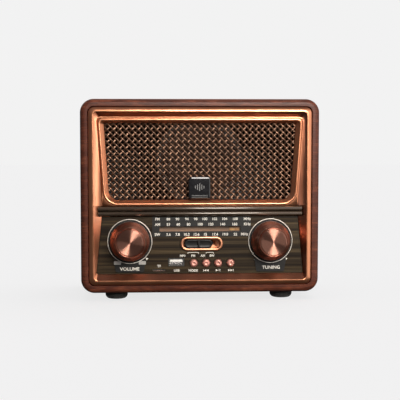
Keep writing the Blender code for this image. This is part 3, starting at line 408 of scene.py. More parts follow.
class Look:
    """A procedural material in the making. Each method adds nodes and gives back an output socket."""

    def __init__(self, name, **constants):
        self.material = bpy.data.materials.new(name)
        self.material.use_nodes = True
        self.tree = self.material.node_tree
        self.links = self.tree.links
        self.shader = self.tree.nodes["Principled BSDF"]
        for words, value in constants.items():
            self.shader.inputs[words.replace("_", " ")].default_value = value
        self.height = None

    def node(self, kind, inputs=(), **settings):
        return add_node(self.tree, kind, inputs, **settings)

    def feed(self, socket, value):
        self.links.new(value, self.shader.inputs[socket])

    def colour(self, value):
        self.feed("Base Color", value)

    def rough(self, value, low, high, lowest=NOISE_LOW, highest=NOISE_HIGH):
        """Roughness from low to high as a value goes from its lowest to its highest."""
        self.feed("Roughness", self.scaled(value, lowest, highest, low, high))

    def place(self, stretch=(1, 1, 1)):
        spot = self.node("ShaderNodeTexCoord").outputs["Object"]
        return self.node("ShaderNodeMapping", {"Vector": spot, "Scale": stretch}).outputs[0]

    def noise(self, scale, stretch=(1, 1, 1), detail=4.0, roughness=0.5, distortion=0.0):
        return self.node("ShaderNodeTexNoise", {
            "Vector": self.place(stretch),
            "Scale": scale,
            "Detail": detail,
            "Roughness": roughness,
            "Distortion": distortion,
        }).outputs[0]

    def wave(self, scale, distortion=0.0, direction="X"):
        return self.node("ShaderNodeTexWave", {
            "Vector": self.place(),
            "Scale": scale,
            "Distortion": distortion,
            "Detail": 3.0,
        }, bands_direction=direction).outputs[1]

    def scratches(self, scale, stretch):
        """Sparse thin streaks, from stretched noise with only its peaks kept."""
        return self.scaled(self.noise(scale, stretch, 2.0), 0.62, 0.70, 0, 1)

    def scaled(self, value, from_low, from_high, to_low, to_high):
        return self.node("ShaderNodeMapRange", {
            "Value": value,
            "From Min": from_low,
            "From Max": from_high,
            "To Min": to_low,
            "To Max": to_high,
        }).outputs[0]

    def ramp(self, value, stops):
        return add_ramp(self.tree, value, stops)

    def grey(self, value):
        """A value as a colour between black and white."""
        return self.ramp(value, [(0, (0, 0, 0)), (1, (1, 1, 1))])

    def parts(self, vector):
        """The X, Y and Z of a vector."""
        return self.node("ShaderNodeSeparateXYZ", {"Vector": vector}).outputs

    def mix(self, factor, *colours):
        """Two colours mixed by a factor. A colour may be a socket or a plain colour."""
        made = self.node("ShaderNodeMix", {0: factor}, data_type="RGBA")
        for spot, colour in zip((6, 7), colours):
            if isinstance(colour, bpy.types.NodeSocket):
                self.links.new(colour, made.inputs[spot])
            else:
                made.inputs[spot].default_value = (*colour, 1)
        return made.outputs[2]

    def math(self, operation, first, second=0.0):
        return self.node("ShaderNodeMath", {0: first, 1: second}, operation=operation).outputs[0]

    def edges(self, radius):
        """1 along sharp edges and 0 elsewhere, from how far a rounded normal turns from the true one."""
        soft = self.node("ShaderNodeBevel", {"Radius": radius}, samples=4).outputs[0]
        true = self.node("ShaderNodeNewGeometry").outputs["Normal"]
        turn = self.node("ShaderNodeVectorMath", {0: soft, 1: true}, operation="DOT_PRODUCT")
        return self.scaled(turn.outputs["Value"], 0.98, 0.84, 0, 1)

    def corner_shade(self, distance, most):
        """Painted shade: `most` deep in corners and 0 on open surfaces."""
        openness = self.node("ShaderNodeAmbientOcclusion", {"Distance": distance}, samples=8).outputs["AO"]
        return self.scaled(openness, 0.88, 0.40, 0, most)

    def bump(self, height, distance, strength=1.0):
        """Adds one layer of relief to those before it."""
        inputs = {"Height": height, "Distance": distance, "Strength": strength}
        if self.height:
            inputs["Normal"] = self.height
        self.height = self.node("ShaderNodeBump", inputs).outputs[0]
        self.feed("Normal", self.height)


def two_tone(look, dark, light, scale, stretch=(1, 1, 1), low=0.35, high=0.65):
    return look.ramp(look.noise(scale, stretch), [(low, dark), (high, light)])


def roughness_range(look, low, high, scale=120.0, stretch=(1, 1, 1)):
    look.rough(look.noise(scale, stretch, 5.0), low, high)


def walnut():
    """Walnut foil: fine grain that runs back along the sides, and across on the top and the bottom."""
    look = Look("walnut", Specular_IOR_Level=0.22)
    upward = look.parts(look.node("ShaderNodeNewGeometry").outputs["Normal"])[2]
    level = look.scaled(look.math("ABSOLUTE", upward), 0.6, 0.8, 0, 1)

    def grain(stretch_side, stretch_level, detail, roughness):
        side = look.noise(1.0, stretch_side, detail, roughness, 0.35)
        across = look.noise(1.0, stretch_level, detail, roughness, 0.35)
        return look.mix(level, look.grey(side), look.grey(across))

    broad = grain((40, 5, 150), (5, 150, 40), 5.0, 0.6)
    fine = grain((90, 14, 900), (14, 900, 90), 4.0, 0.55)
    pores = grain((200, 22, 2400), (22, 2400, 200), 2.0, 0.5)
    colour = look.ramp(broad, [(0.30, (0.046, 0.0112, 0.0066)), (0.50, (0.094, 0.0240, 0.0120)),
                               (0.66, (0.162, 0.0460, 0.0225))])
    colour = look.mix(look.scaled(fine, 0.40, 0.62, 0.66, 0.0), colour, (0.030, 0.0095, 0.0068))
    colour = look.mix(look.scaled(pores, 0.58, 0.66, 0.0, 0.55), colour, (0.015, 0.0055, 0.0045))
    colour = look.mix(look.math("MULTIPLY", look.edges(0.0007), 0.08), colour, (0.200, 0.090, 0.060))
    look.colour(colour)
    look.feed("Roughness", look.math("ADD", look.scaled(fine, 0.3, 0.7, 0.48, 0.38),
                                     look.math("MULTIPLY", level, 0.40)))
    look.bump(fine, 0.00006, 0.5)
    look.bump(pores, 0.00003, 0.5)
    return look.material


def bare_board():
    """The unfaced board inside the cabinet: pressed wood fibres."""
    look = Look("bare_board", Specular_IOR_Level=0.2)
    look.colour(two_tone(look, (0.16, 0.10, 0.055), (0.27, 0.18, 0.10), 900, (1, 1, 3)))
    roughness_range(look, 0.75, 0.95, 400)
    look.bump(look.noise(1600, detail=6.0), 0.00008)
    return look.material


def zebrano():
    """Dark olive-brown striped veneer under a satin lacquer."""
    look = Look("zebrano", Specular_IOR_Level=0.16)
    bands = look.noise(1.0, (4, 300, 260), 3.0, 0.55, 0.2)
    fine = look.noise(1.0, (18, 300, 1500), 4.0, 0.6, 0.2)
    colour = look.ramp(bands, [(0.36, (0.0080, 0.0045, 0.0022)), (0.46, (0.020, 0.0125, 0.0058)),
                               (0.54, (0.040, 0.027, 0.0130)), (0.66, (0.066, 0.046, 0.0240))])
    colour = look.mix(look.scaled(fine, 0.42, 0.60, 0.6, 0.0), colour, (0.0070, 0.0042, 0.0022))
    look.colour(colour)
    look.rough(fine, 0.50, 0.36)
    look.bump(fine, 0.00004, 0.5)
    return look.material


def copper(name, dark, light, low=0.24, high=0.34, metallic=1.0, painted_shade=0.35):
    """Copper-coloured lacquer with a fine metallic grain, and painted shade: darker in its corners and
    hollows.
    """
    look = Look(name, Metallic=metallic, Coat_Weight=0.25, Coat_Roughness=0.12)
    base = two_tone(look, dark, light, 45)
    flakes = look.scaled(look.noise(5200, detail=2.0), 0.50, 0.75, 0.0, 0.12)
    colour = look.mix(flakes, base, (0.90, 0.55, 0.36))
    # Painted shade: the copper turns dark red-brown in corners and hollows, where shade falls.
    look.colour(look.mix(look.corner_shade(0.0045, painted_shade), colour, (0.085, 0.022, 0.012)))
    roughness_range(look, low, high, 120)
    look.bump(look.noise(2600, detail=2.0), 0.0000015, 0.5)
    return look.material


def lathe_turned(name, dark, light, low, high, anisotropy):
    """Copper turned on a lathe: fine rings that stretch each highlight across them."""
    look = Look(name, Metallic=1.0, Anisotropic=anisotropy, Anisotropic_Rotation=0.25)
    spot = look.parts(look.place())
    across = look.math("POWER", spot[0], 2.0)
    up = look.math("POWER", spot[1], 2.0)
    reach = look.math("SQRT", look.math("ADD", across, up))
    rings = look.node("ShaderNodeTexNoise", {"W": look.math("MULTIPLY", reach, 9000.0), "Scale": 1.0,
                                             "Detail": 3.0}, noise_dimensions="1D").outputs[0]
    colour = look.ramp(rings, [(0.30, dark), (0.70, light)])
    look.colour(colour)
    look.rough(rings, low, high)
    tangent = look.node("ShaderNodeTangent", direction_type="RADIAL", axis="Z").outputs[0]
    look.feed("Tangent", tangent)
    look.bump(rings, 0.000004, 0.5)
    return look.material


def bronze_wire():
    """Dark bronzed wire that only catches the light where it bends over another."""
    look = Look("bronze_wire", Metallic=0.8, Coat_Weight=0.1, Coat_Roughness=0.25)
    base = two_tone(look, (0.074, 0.036, 0.021), (0.145, 0.078, 0.047), 240)
    tarnish = look.scaled(look.noise(90, detail=6.0), 0.5, 0.75, 0.0, 0.6)
    look.colour(look.mix(tarnish, base, (0.030, 0.016, 0.010)))
    roughness_range(look, 0.26, 0.38, 700)
    look.bump(look.noise(3000, detail=2.0), 0.000004, 0.6)
    return look.material


def smoked():
    """Smoked glossy plastic with a bronze tint and hairline scuffs."""
    look = Look("smoked", Metallic=0.35, Coat_Weight=0.6, Coat_Roughness=0.10)
    base = two_tone(look, (0.040, 0.027, 0.018), (0.070, 0.048, 0.032), 40, (0.3, 1, 1))
    scuffs = look.scratches(900, (0.04, 1, 1))
    look.colour(look.mix(look.math("MULTIPLY", scuffs, 0.25), base, (0.16, 0.13, 0.10)))
    look.rough(look.noise(200, (0.05, 1, 1), 3.0), 0.20, 0.28)
    look.bump(scuffs, 0.000001, 0.3)
    return look.material


def gloss_black():
    """Glossy black plastic with faint smears."""
    colour = (0.006, 0.006, 0.007)
    look = Look("gloss_black", Coat_Weight=0.3, Coat_Roughness=0.05, Specular_IOR_Level=0.35)
    smears = look.noise(110, (1, 1, 2.5), 6.0, 0.6, 0.4)
    look.colour(look.ramp(smears, [(0.3, colour), (0.8, tuple(2.2 * part for part in colour))]))
    look.rough(smears, 0.10, 0.20, 0.35, 0.75)
    look.bump(look.noise(420, detail=2.0), 0.000008, 0.4)
    return look.material


def moulded(name, dark, light, low=0.42, high=0.60, grain=0.00003, scale=2600, **constants):
    """Moulded plastic with a spark-eroded grain, rubbed paler along its edges."""
    look = Look(name, **constants)
    base = two_tone(look, dark, light, 70)
    rubbed = look.math("MULTIPLY", look.edges(0.0006), look.scaled(look.noise(260), 0.35, 0.65, 0.05, 0.35))
    paler = tuple(min(1.0, 1.6 * part + 0.04) for part in light)
    look.colour(look.mix(rubbed, base, paler))
    roughness_range(look, low, high, 180)
    look.bump(look.noise(scale, detail=2.0), grain, 0.7)
    return look.material


def rubber():
    look = Look("rubber", Specular_IOR_Level=0.3, Sheen_Weight=0.15)
    dust = look.scaled(look.noise(140, detail=6.0), 0.5, 0.8, 0.0, 0.35)
    look.colour(look.mix(dust, two_tone(look, (0.010, 0.010, 0.010), (0.020, 0.019, 0.018), 300),
                                     (0.07, 0.065, 0.060)))
    roughness_range(look, 0.68, 0.88, 300)
    look.bump(look.noise(1800, detail=3.0), 0.00006)
    return look.material


def plated(name="plated", stretch=(1, 1, 1), tint=(0.62, 0.61, 0.60), low=0.14, high=0.28):
    """Bright plated metal with fine drawing lines and a little haze."""
    look = Look(name, Metallic=1.0)
    dull = tuple(0.72 * part for part in tint)
    lines = look.noise(1.0, tuple(2400 * part for part in stretch), 3.0)
    haze = look.noise(90, detail=6.0)
    look.colour(look.mix(look.scaled(haze, 0.45, 0.75, 0.0, 0.8), tint, dull))
    wear = look.mix(0.5, look.grey(lines), look.grey(haze))
    look.rough(wear, low, high)
    look.bump(lines, 0.000006, 0.4)
    return look.material


def pressed_steel():
    """Zinc-plated sheet, with its spangle and a light stain."""
    look = Look("pressed_steel", Metallic=1.0)
    spangle = look.node("ShaderNodeTexVoronoi", {"Vector": look.place(), "Scale": 480.0}).outputs[1]
    grey = look.mix(0.88, spangle, (0.46, 0.46, 0.44))
    stain = look.scaled(look.noise(130, detail=6.0), 0.52, 0.72, 0.0, 0.5)
    look.colour(look.mix(stain, grey, (0.26, 0.23, 0.18)))
    roughness_range(look, 0.32, 0.52, 300)
    look.bump(look.noise(1500, detail=3.0), 0.00002, 0.5)
    return look.material


def clear_window():
    look = Look("clear_window", Alpha=0.14, Coat_Weight=0.5, Coat_Roughness=0.04)
    haze = look.noise(160, (0.4, 1, 1), 5.0)
    look.colour(look.ramp(haze, [(0.3, (0.34, 0.24, 0.17)), (0.8, (0.46, 0.36, 0.28))]))
    look.rough(haze, 0.06, 0.16)
    look.bump(look.noise(300), 0.000006, 0.3)
    return look.material


def amber():
    """Translucent amber plastic."""
    look = Look("amber", Coat_Weight=0.5, Coat_Roughness=0.08, Subsurface_Weight=0.25,
                Subsurface_Scale=0.001)
    look.colour(two_tone(look, (0.36, 0.165, 0.045), (0.58, 0.31, 0.10), 260))
    roughness_range(look, 0.18, 0.30, 300)
    look.bump(look.noise(700), 0.000012, 0.4)
    return look.material


def printed(name, dark, light, roughness=0.55):
    """Screen-printed ink, with pinholes and an uneven body."""
    look = Look(name, Specular_IOR_Level=0.35)
    ink = two_tone(look, dark, light, 1500)
    look.colour(ink)
    look.rough(look.noise(900), roughness - 0.08, roughness + 0.10)
    look.bump(look.noise(2500, detail=2.0), 0.000010, 0.6)
    return look.material


def circuit_board():
    """Green solder mask with faint tracks running both ways beneath it."""
    look = Look("circuit_board", Coat_Weight=0.4, Coat_Roughness=0.15)
    tracks = look.node("ShaderNodeTexBrick", {
        "Vector": look.place((1, 1, 1)),
        "Color1": (0.012, 0.085, 0.035, 1),
        "Color2": (0.020, 0.120, 0.050, 1),
        "Mortar": (0.045, 0.200, 0.085, 1),
        "Scale": 160.0,
        "Mortar Size": 0.045,
    }, offset=0.37, squash=0.6, squash_frequency=3).outputs[0]
    blotch = look.scaled(look.noise(150, detail=4.0), 0.5, 0.8, 0.0, 0.4)
    look.colour(look.mix(blotch, tracks, (0.010, 0.060, 0.028)))
    roughness_range(look, 0.28, 0.45, 300)
    look.bump(tracks, 0.00003, 0.6)
    return look.material


def cone_paper():
    look = Look("cone_paper", Specular_IOR_Level=0.2, Sheen_Weight=0.2)
    fibres = look.noise(1400, (1, 1, 1), 6.0, 0.7, 1.2)
    look.colour(look.ramp(fibres, [(0.35, (0.024, 0.013, 0.010)),
                                               (0.75, (0.060, 0.038, 0.029))]))
    roughness_range(look, 0.80, 0.95, 500)
    look.bump(fibres, 0.00010)
    return look.material


def ferrite():
    look = Look("ferrite")
    look.colour(two_tone(look, (0.030, 0.030, 0.033), (0.075, 0.073, 0.075), 500))
    roughness_range(look, 0.48, 0.70, 400)
    look.bump(look.noise(2200, detail=5.0), 0.00005)
    return look.material


def winding():
    """Enamelled wire laid turn by turn along X."""
    look = Look("winding", Metallic=0.8)
    turns = look.wave(500.0)
    look.colour(look.ramp(turns, [(0.0, (0.10, 0.030, 0.012)), (0.7, (0.62, 0.25, 0.10))]))
    roughness_range(look, 0.22, 0.38, 300)
    look.bump(turns, 0.00010)
    return look.material


def cell_wrap():
    """A printed sleeve with a pale band."""
    look = Look("cell_wrap", Coat_Weight=0.6, Coat_Roughness=0.08)
    along = look.parts(look.place())[0]
    band = look.scaled(along, 0.0210, 0.0214, 0.0, 1.0)
    blue = two_tone(look, (0.022, 0.085, 0.270), (0.036, 0.125, 0.360), 220)
    look.colour(look.mix(band, blue, (0.62, 0.63, 0.64)))
    roughness_range(look, 0.20, 0.34, 200)
    look.bump(look.noise(500, (1, 3, 3)), 0.00002, 0.5)
    return look.material


def thread():
    look = Look("thread", Specular_IOR_Level=0.2, Sheen_Weight=0.3)
    twist = look.wave(900.0, 2.0, "DIAGONAL")
    look.colour(look.ramp(twist, [(0.2, (0.38, 0.33, 0.22)), (0.8, (0.78, 0.72, 0.56))]))
    roughness_range(look, 0.75, 0.92, 600)
    look.bump(twist, 0.00008)
    return look.material


LOOKS = {
    "walnut": walnut(),
    "bare_board": bare_board(),
    "zebrano": zebrano(),
    "copper": copper("copper", (0.52, 0.205, 0.105), (0.60, 0.250, 0.130), 0.28, 0.36),
    # Painted shade: a darker copy of the copper for the rim's inner slopes that face away from the light.
    "shaded_copper": copper("shaded_copper", (0.185, 0.063, 0.034), (0.235, 0.085, 0.046),
                             0.30, 0.38, 1.0, 0.80),
    # Painted highlight: a paler copy of the copper for the rim's left inner slope, which faces the light.
    "lit_copper": copper("lit_copper", (0.66, 0.280, 0.155), (0.74, 0.330, 0.190),
                           0.50, 0.58, 1.0, 0.10),
    # Painted light: a paler copper for the switch's recessed dish, to offset the shadow that falls in it,
    # with less painted shade in its corners.
    "dish_copper": copper("dish_copper", (0.62, 0.270, 0.150), (0.70, 0.320, 0.180),
                          0.34, 0.44, 1.0, 0.25),
    "knob_copper": lathe_turned("knob_copper", (0.24, 0.088, 0.058), (0.38, 0.155, 0.105), 0.26, 0.34, 0.9),
    "rose_copper": copper("rose_copper", (0.56, 0.250, 0.200), (0.68, 0.330, 0.270), 0.44, 0.54, 0.7),
    "pale_ring": plated("pale_ring", (1, 1, 1), (0.72, 0.68, 0.62), 0.42, 0.52),
    "painted_steel": moulded("painted_steel", (0.013, 0.007, 0.005), (0.022, 0.012, 0.009), 0.60, 0.75),
    "rail_copper": moulded("rail_copper", (0.230, 0.110, 0.062), (0.300, 0.155, 0.090), 0.40, 0.55),
    "spun": lathe_turned("spun_copper", (0.28, 0.125, 0.088), (0.46, 0.230, 0.170), 0.26, 0.32, 1.0),
    "bronze_wire": bronze_wire(),
    "smoked": smoked(),
    "gloss_black": gloss_black(),
    "clear": clear_window(),
    "black": moulded("black_plastic", (0.021, 0.021, 0.022), (0.026, 0.026, 0.027), 0.50, 0.56,
                     0.00008, 1500),
    "satin_black": moulded("satin_black", (0.005, 0.005, 0.005), (0.008, 0.008, 0.008), 0.34, 0.46, 0.000004,
                           Specular_IOR_Level=0.25),
    "rubber": rubber(),
    "plated": plated(),
    "drawn": plated("drawn", (1, 1, 0.03)),
    "gold": plated("gold_contacts", (1, 1, 1), (0.78, 0.58, 0.26)),
    "pressed_steel": pressed_steel(),
    "white": moulded("white_plastic", (0.58, 0.57, 0.53), (0.74, 0.73, 0.69), 0.35, 0.50),
    "amber": amber(),
    "board": circuit_board(),
    "paper": cone_paper(),
    "ferrite": ferrite(),
    "winding": winding(),
    "cell": cell_wrap(),
    "thread": thread(),
    "cream_ink": printed("cream_ink", (0.56, 0.53, 0.47), (0.74, 0.71, 0.65)),
    "grey_ink": printed("grey_ink", (0.26, 0.25, 0.24), (0.33, 0.32, 0.30)),
    "badge_ink": printed("badge_ink", (0.12, 0.12, 0.12), (0.18, 0.18, 0.175), 0.30),
    "black_ink": printed("black_ink", (0.0050, 0.0050, 0.0050), (0.0100, 0.0095, 0.0090), 0.42),
}


# ---- cabinet ----


def cabinet_ring(inset, y):
    radius = max(CABINET_CORNER - inset, 0.0010)
    width, height = CABINET_WIDTH - 2 * inset, CABINET_HEIGHT - 2 * inset
    return at_depth(rectangle(width, height, radius, 0, MID_Z, 16), y)


def cabinet_sleeve():
    """The wooden sleeve, with its rounded front edge and a fine chamfer at each of the others."""
    rings = [
        cabinet_ring(FRONT_ROUNDING * (1 - math.sin(angle)), FRONT_ROUNDING * (1 - math.cos(angle)))
        for angle in sweep(90, 12)
    ]
    rings += [cabinet_ring(0, y) for y in (0.030, 0.055, 0.080)]
    rear_edge, front_edge, fine_edge = 0.0012, 0.0004, 0.0003
    rings += [
        cabinet_ring(0, CABINET_DEPTH - rear_edge),
        cabinet_ring(front_edge, CABINET_DEPTH - fine_edge),
        cabinet_ring(rear_edge, CABINET_DEPTH),
        cabinet_ring(CABINET_WALL - fine_edge, CABINET_DEPTH),
        cabinet_ring(CABINET_WALL, CABINET_DEPTH - fine_edge),
        cabinet_ring(CABINET_WALL, front_edge),
        cabinet_ring(CABINET_WALL - front_edge, 0),
    ]
    mesh = lofted("cabinet_sleeve_fine", rings, looped=True)
    add_piece("walnut_sleeve", mesh, "walnut", replaces=["cabinet_sleeve"])
    post_width, post_height, post_ys = 0.0180, 0.0120, (0.0805, 0.1005)
    toward_wall = 0.0008
    outlines = []
    for x, z in SCREW_SPOTS:
        outlines.append(rectangle(post_width, post_height, 0.0006, x + math.copysign(toward_wall, x), z, 3))
        outlines.append(circle(SCREW_HOLE, x, z, 24))
    posts = filled_mesh("screw_posts", outlines, post_ys)
    add_piece("screw_posts", posts, "bare_board")


def feet():
    """Rubber feet with a rounded rim, a fixing recess underneath and a collar at the top."""
    for name in ("foot_front_left", "foot_front_right", "foot_rear_left", "foot_rear_right"):
        low, high = local_box(name)
        radius = (high.x - low.x) / 2
        bottom = low.z - high.z
        profile = rounded_profile(
            [(0, 0), (radius, 0), (radius, 0.46 * bottom), (0.94 * radius, 0.72 * bottom),
             (0.82 * radius, 0.92 * bottom), (0.66 * radius, bottom), (0.34 * radius, bottom),
             (0.34 * radius, 0.60 * bottom), (0.16 * radius, 0.60 * bottom), (0, 0.60 * bottom)],
            0.0008,
        )
        centre = (low + high) / 2
        add_piece(f"{name}_rubber", turned_mesh(name, profile, 64), "rubber",
                  replaces=[name], place=(centre.x, centre.y, high.z))


# ---- front ----


def hourglass():
    """The bezel's inner edge: the grille's trapezoid above the waist and the panel's below it."""
    side = WAIST_ROUNDING
    return outline([
        (HALF_AT_GRILLE_TOP, GRILLE_TOP_Z, 0.0042),
        (-HALF_AT_GRILLE_TOP, GRILLE_TOP_Z, 0.0042),
        (-HALF_AT_WAIST_TOP, WAIST_TOP_Z, side),
        (-HALF_AT_WAIST_BOTTOM, WAIST_BOTTOM_Z, side),
        (-HALF_AT_PANEL_BOTTOM, PANEL_BOTTOM_Z, 0.0020),
        (HALF_AT_PANEL_BOTTOM, PANEL_BOTTOM_Z, 0.0020),
        (HALF_AT_WAIST_BOTTOM, WAIST_BOTTOM_Z, side),
        (HALF_AT_WAIST_TOP, WAIST_TOP_Z, side),
    ])


def bezel_ring(inset, y):
    """A rounded rectangle inside the bezel's outer edge, with points beside each of the hourglass's."""
    half_x = BEZEL_HIGH.x - inset
    top = BEZEL_HIGH.z - inset
    bottom = BEZEL_LOW.z + inset
    radius = max(BEZEL_CORNER - 0.4 * inset, 0.0010)
    side = WAIST_ROUNDING
    return at_depth(outline([
        (half_x, top, radius),
        (-half_x, top, radius),
        (-half_x, WAIST_TOP_Z, side),
        (-half_x, WAIST_BOTTOM_Z, side),
        (-half_x, bottom, radius),
        (half_x, bottom, radius),
        (half_x, WAIST_BOTTOM_Z, side),
        (half_x, WAIST_TOP_Z, side),
    ]), y)


def grille_frame():
    """The raised bead round the grille, from the hourglass's edge in to the mesh. Its top hangs low."""
    reach = 0.0058
    slope = (MESH_HALF_TOP - MESH_HALF_BOTTOM) / (MESH_TOP_Z - MESH_BOTTOM_Z)

    def ring(grow, drop, radius_top, radius_bottom, y):
        return at_depth(trapezoid(
            MESH_HALF_TOP + grow + slope * grow,
            MESH_HALF_BOTTOM + grow - slope * grow,
            MESH_TOP_Z + 0.8 * grow - drop,
            MESH_BOTTOM_Z - 0.9 * grow,
            radius_top,
            radius_bottom,
        ), y)

    sunk = 0.0004
    edge = trapezoid(HALF_AT_GRILLE_TOP + sunk, HALF_AT_WAIST_TOP + sunk, GRILLE_TOP_Z + sunk,
                     WAIST_TOP_Z - sunk, 0.0044, 0.0010)
    height = GRILLE_TOP_Z - WAIST_TOP_Z
    ledge = [(x, 0.0029 - 0.0017 * (GRILLE_TOP_Z - z) / height, z) for x, z in edge]
    rings = [at_depth(edge, PLATE_BACK_Y - sunk), ledge]
    for angle in sweep(180, 8):
        share = (1 - math.cos(angle)) / 2
        grow = reach - 0.0005 - 0.0026 * share
        y = 0.0014 - 0.0010 * math.sin(angle)
        drop = 0.0010 + 0.0010 * share
        rings.append(ring(grow, drop, 0.0040 - 0.0011 * share, 0.0125 - 0.0023 * share, y))
    rings += [
        ring(reach - 0.0036, 0.0020, 0.0026, 0.0097, 0.0018),
        ring(0.0002, 0.0014, 0.0016, 0.0082, 0.0041),
        ring(0, 0.0013, 0.0015, 0.0080, 0.0043),
        ring(0, 0.0013, 0.0015, 0.0080, PLATE_BACK_Y - sunk),
    ]
    return lofted("grille_frame", rings, looped=True)


def button_spots():
    return [middle(name) for name in BUTTON_NAMES]


def window_outline(grow):
    """The scale window's opening, grown by `grow` on each side."""
    width = WINDOW_X[1] - WINDOW_X[0] + 2 * grow
    height = WINDOW_Z[1] - WINDOW_Z[0] + 2 * grow
    return rectangle(width, height, 0.0004, sum(WINDOW_X) / 2, sum(WINDOW_Z) / 2, 4)


def panel_holes(slack, steps=48):
    """Outlines of the openings that the panel and the plate behind it share, grown by `slack`."""
    holes = [circle(0.0060 + slack, x, KNOB_Z, steps) for x in (-KNOB_X, KNOB_X)]
    holes += [circle(BUTTON_RADIUS + 0.0004 + slack, spot.x, spot.z, steps) for spot in button_spots()]
    for node in ("usb_port", "card_slot"):
        low, high = local_box(node)
        across, up = (high.x - low.x, high.z - low.z) if node == "usb_port" else (0.0109, 0.0012)
        centre = (low + high) / 2
        grow = 2 * (GAP + slack)
        holes.append(rectangle(across + grow, up + grow, 0.0004, centre.x, centre.z, 4))
    around_cup = 0.0026 + 2 * slack
    holes.append(stadium(SWITCH_RECESS[0] + around_cup, SWITCH_RECESS[1] + around_cup, SWITCH_X, SWITCH_Z))
    holes.append(window_outline(2 * slack))
    return holes


def panel_seat():
    """The plate behind the dial panel, a little wider than it, with the same openings."""
    lip = 0.0012
    edge = outline([
        (HALF_AT_WAIST_BOTTOM - GAP, WAIST_TOP_Z + 0.0030, 0),
        (-HALF_AT_WAIST_BOTTOM + GAP, WAIST_TOP_Z + 0.0030, 0),
        (-HALF_AT_WAIST_BOTTOM - lip, WAIST_BOTTOM_Z, 0),
        (-HALF_AT_PANEL_BOTTOM - lip, PANEL_BOTTOM_Z - lip, 0),
        (HALF_AT_PANEL_BOTTOM + lip, PANEL_BOTTOM_Z - lip, 0),
        (HALF_AT_WAIST_BOTTOM + lip, WAIST_BOTTOM_Z, 0),
    ])
    return filled_mesh("panel_seat", [edge, *panel_holes(0.0005)], (PLATE_FRONT_Y, PLATE_BACK_Y - 0.0002))


def front_bezel():
    """The copper front moulding: a rounded rim with sloping inner faces, the bead and the panel's seat."""
    crest_inset, crest_y = 0.0041, BEZEL_LOW.y
    skirt_y = 0.0140
    rings = [bezel_ring(0, skirt_y), bezel_ring(0, 0.0008)]
    steps = 10
    for step in range(steps + 1):
        share = step / steps
        inset = crest_inset * share
        y = 0.0003 + (crest_y - 0.0003) * math.sin(math.radians(90) * share) ** 0.8
        rings.append(bezel_ring(0.0002 + inset * 0.95, y))
    rings += [
        bezel_ring(crest_inset + 0.0003, crest_y + 0.00005),
        bezel_ring(crest_inset + 0.0006, crest_y + 0.0003),
        at_depth(hourglass(), 0.0025),
        at_depth(hourglass(), PLATE_BACK_Y),
        bezel_ring(0.0040, PLATE_BACK_Y + 0.0010),
        bezel_ring(0.0024, skirt_y),
    ]
    mesh = lofted("front_bezel_fine", rings, looped=True, sharp=28)
    bezel = add_piece("copper_bezel", mesh, "copper", replaces=["front_bezel"])
    # Painted light: darker copper on the inner slopes that face away from the light, paler copper on the one
    # that faces it.
    paint_slope_shade(mesh)
    boolean(bezel, grille_frame(), "UNION")
    boolean(bezel, panel_seat(), "UNION")
    groove = block_mesh("trim_groove", (-TRIM_HIGH.x - GAP, TRIM_HIGH.x + GAP), (-0.0100, 0.0046),
                        (TRIM_LOW.z - GAP, TRIM_HIGH.z + GAP))
    boolean(bezel, groove, "DIFFERENCE")
    for side in ("left", "right"):
        low, high = local_box(f"idler_pulley_{side}")
        centre = (low + high) / 2
        radius, length = 0.0015, 0.0126
        profile = rounded_profile([(0, 0), (radius, 0), (radius, -length), (0, -length)], 0.0002)
        add_piece(f"idler_post_{side}", turned_mesh(f"idler_post_{side}", profile, 32), "copper",
                  place=(centre.x, 0.0060, centre.z), turn=FACING_FRONT)


def paint_slope_shade(mesh):
    """Paints shade on the rim's inner slopes at the top, the right and the bottom, which face away from the
    light, and a painted highlight, a paler copper, on the left one, which faces it.
    """
    mesh.materials.append(LOOKS["shaded_copper"])
    mesh.materials.append(LOOKS["lit_copper"])
    for face in mesh.polygons:
        centre = face.center - Vector((0, 0, MID_Z))
        inward = face.normal.x * centre.x + face.normal.z * centre.z < 0
        slope = inward and centre.y > -0.0008 and face.normal.y < -0.2
        if slope:
            face.material_index = 1 if face.normal.x < 0.3 else 2


def clipped_run(start, along, edge):
    """The stretch of a line inside a convex outline, as two distances along it, or None."""
    low, high = -1.0, 1.0
    for index, corner in enumerate(edge):
        following = edge[(index + 1) % len(edge)]
        side = following - corner
        inward = Vector((-side.y, side.x))
        reach = inward.dot(along)
        gap = inward.dot(corner - start)
        if abs(reach) < 1e-12:
            if gap > 0:
                return None
        elif reach > 0:
            low = max(low, gap / reach)
        else:
            high = min(high, gap / reach)
    return (low, high) if high - low > 0.0008 else None


def speaker_grille():
    """A plain weave of flat bronze wires at 45 degrees, each over one crossing wire and under the next."""
    pitch, swing, radii = 0.00385, 0.00044, (0.00080, 0.00030)
    samples = 10
    edge = without_repeats(trapezoid(
        MESH_HALF_TOP - GAP, MESH_HALF_BOTTOM - GAP, MESH_TOP_Z - GAP, MESH_BOTTOM_Z + GAP, 0.0013, 0.0078))
    centre = Vector((0, (MESH_TOP_Z + MESH_BOTTOM_Z) / 2))
    middle_y = (MESH_LOW.y + MESH_HIGH.y) / 2
    reach = math.ceil((MESH_HALF_TOP + MESH_TOP_Z - MESH_BOTTOM_Z) / pitch)
    diagonal = math.sqrt(0.5)
    meshes = []
    for family, along in enumerate((Vector((diagonal, diagonal)), Vector((diagonal, -diagonal)))):
        across = Vector((diagonal, -diagonal)) if family == 0 else Vector((diagonal, diagonal))
        for index in range(-reach, reach + 1):
            start = centre + across * pitch * index
            run = clipped_run(start, along, edge)
            if run is None:
                continue
            flip = 1 if (index + family) % 2 else -1
            count = max(2, round((run[1] - run[0]) / (2 * pitch) * samples))
            points = []
            for step in range(count + 1):
                distance = run[0] + (run[1] - run[0]) * step / count
                place = start + along * distance
                height = flip * swing * math.cos(math.pi * distance / pitch)
                points.append(Vector((place.x, middle_y + height, place.y)))
            meshes.append(swept_mesh("wire", points, radii))
    mesh = joined_mesh("woven_grille", meshes, 60)
    add_piece("woven_grille", mesh, "bronze_wire", replaces=["speaker_grille"])


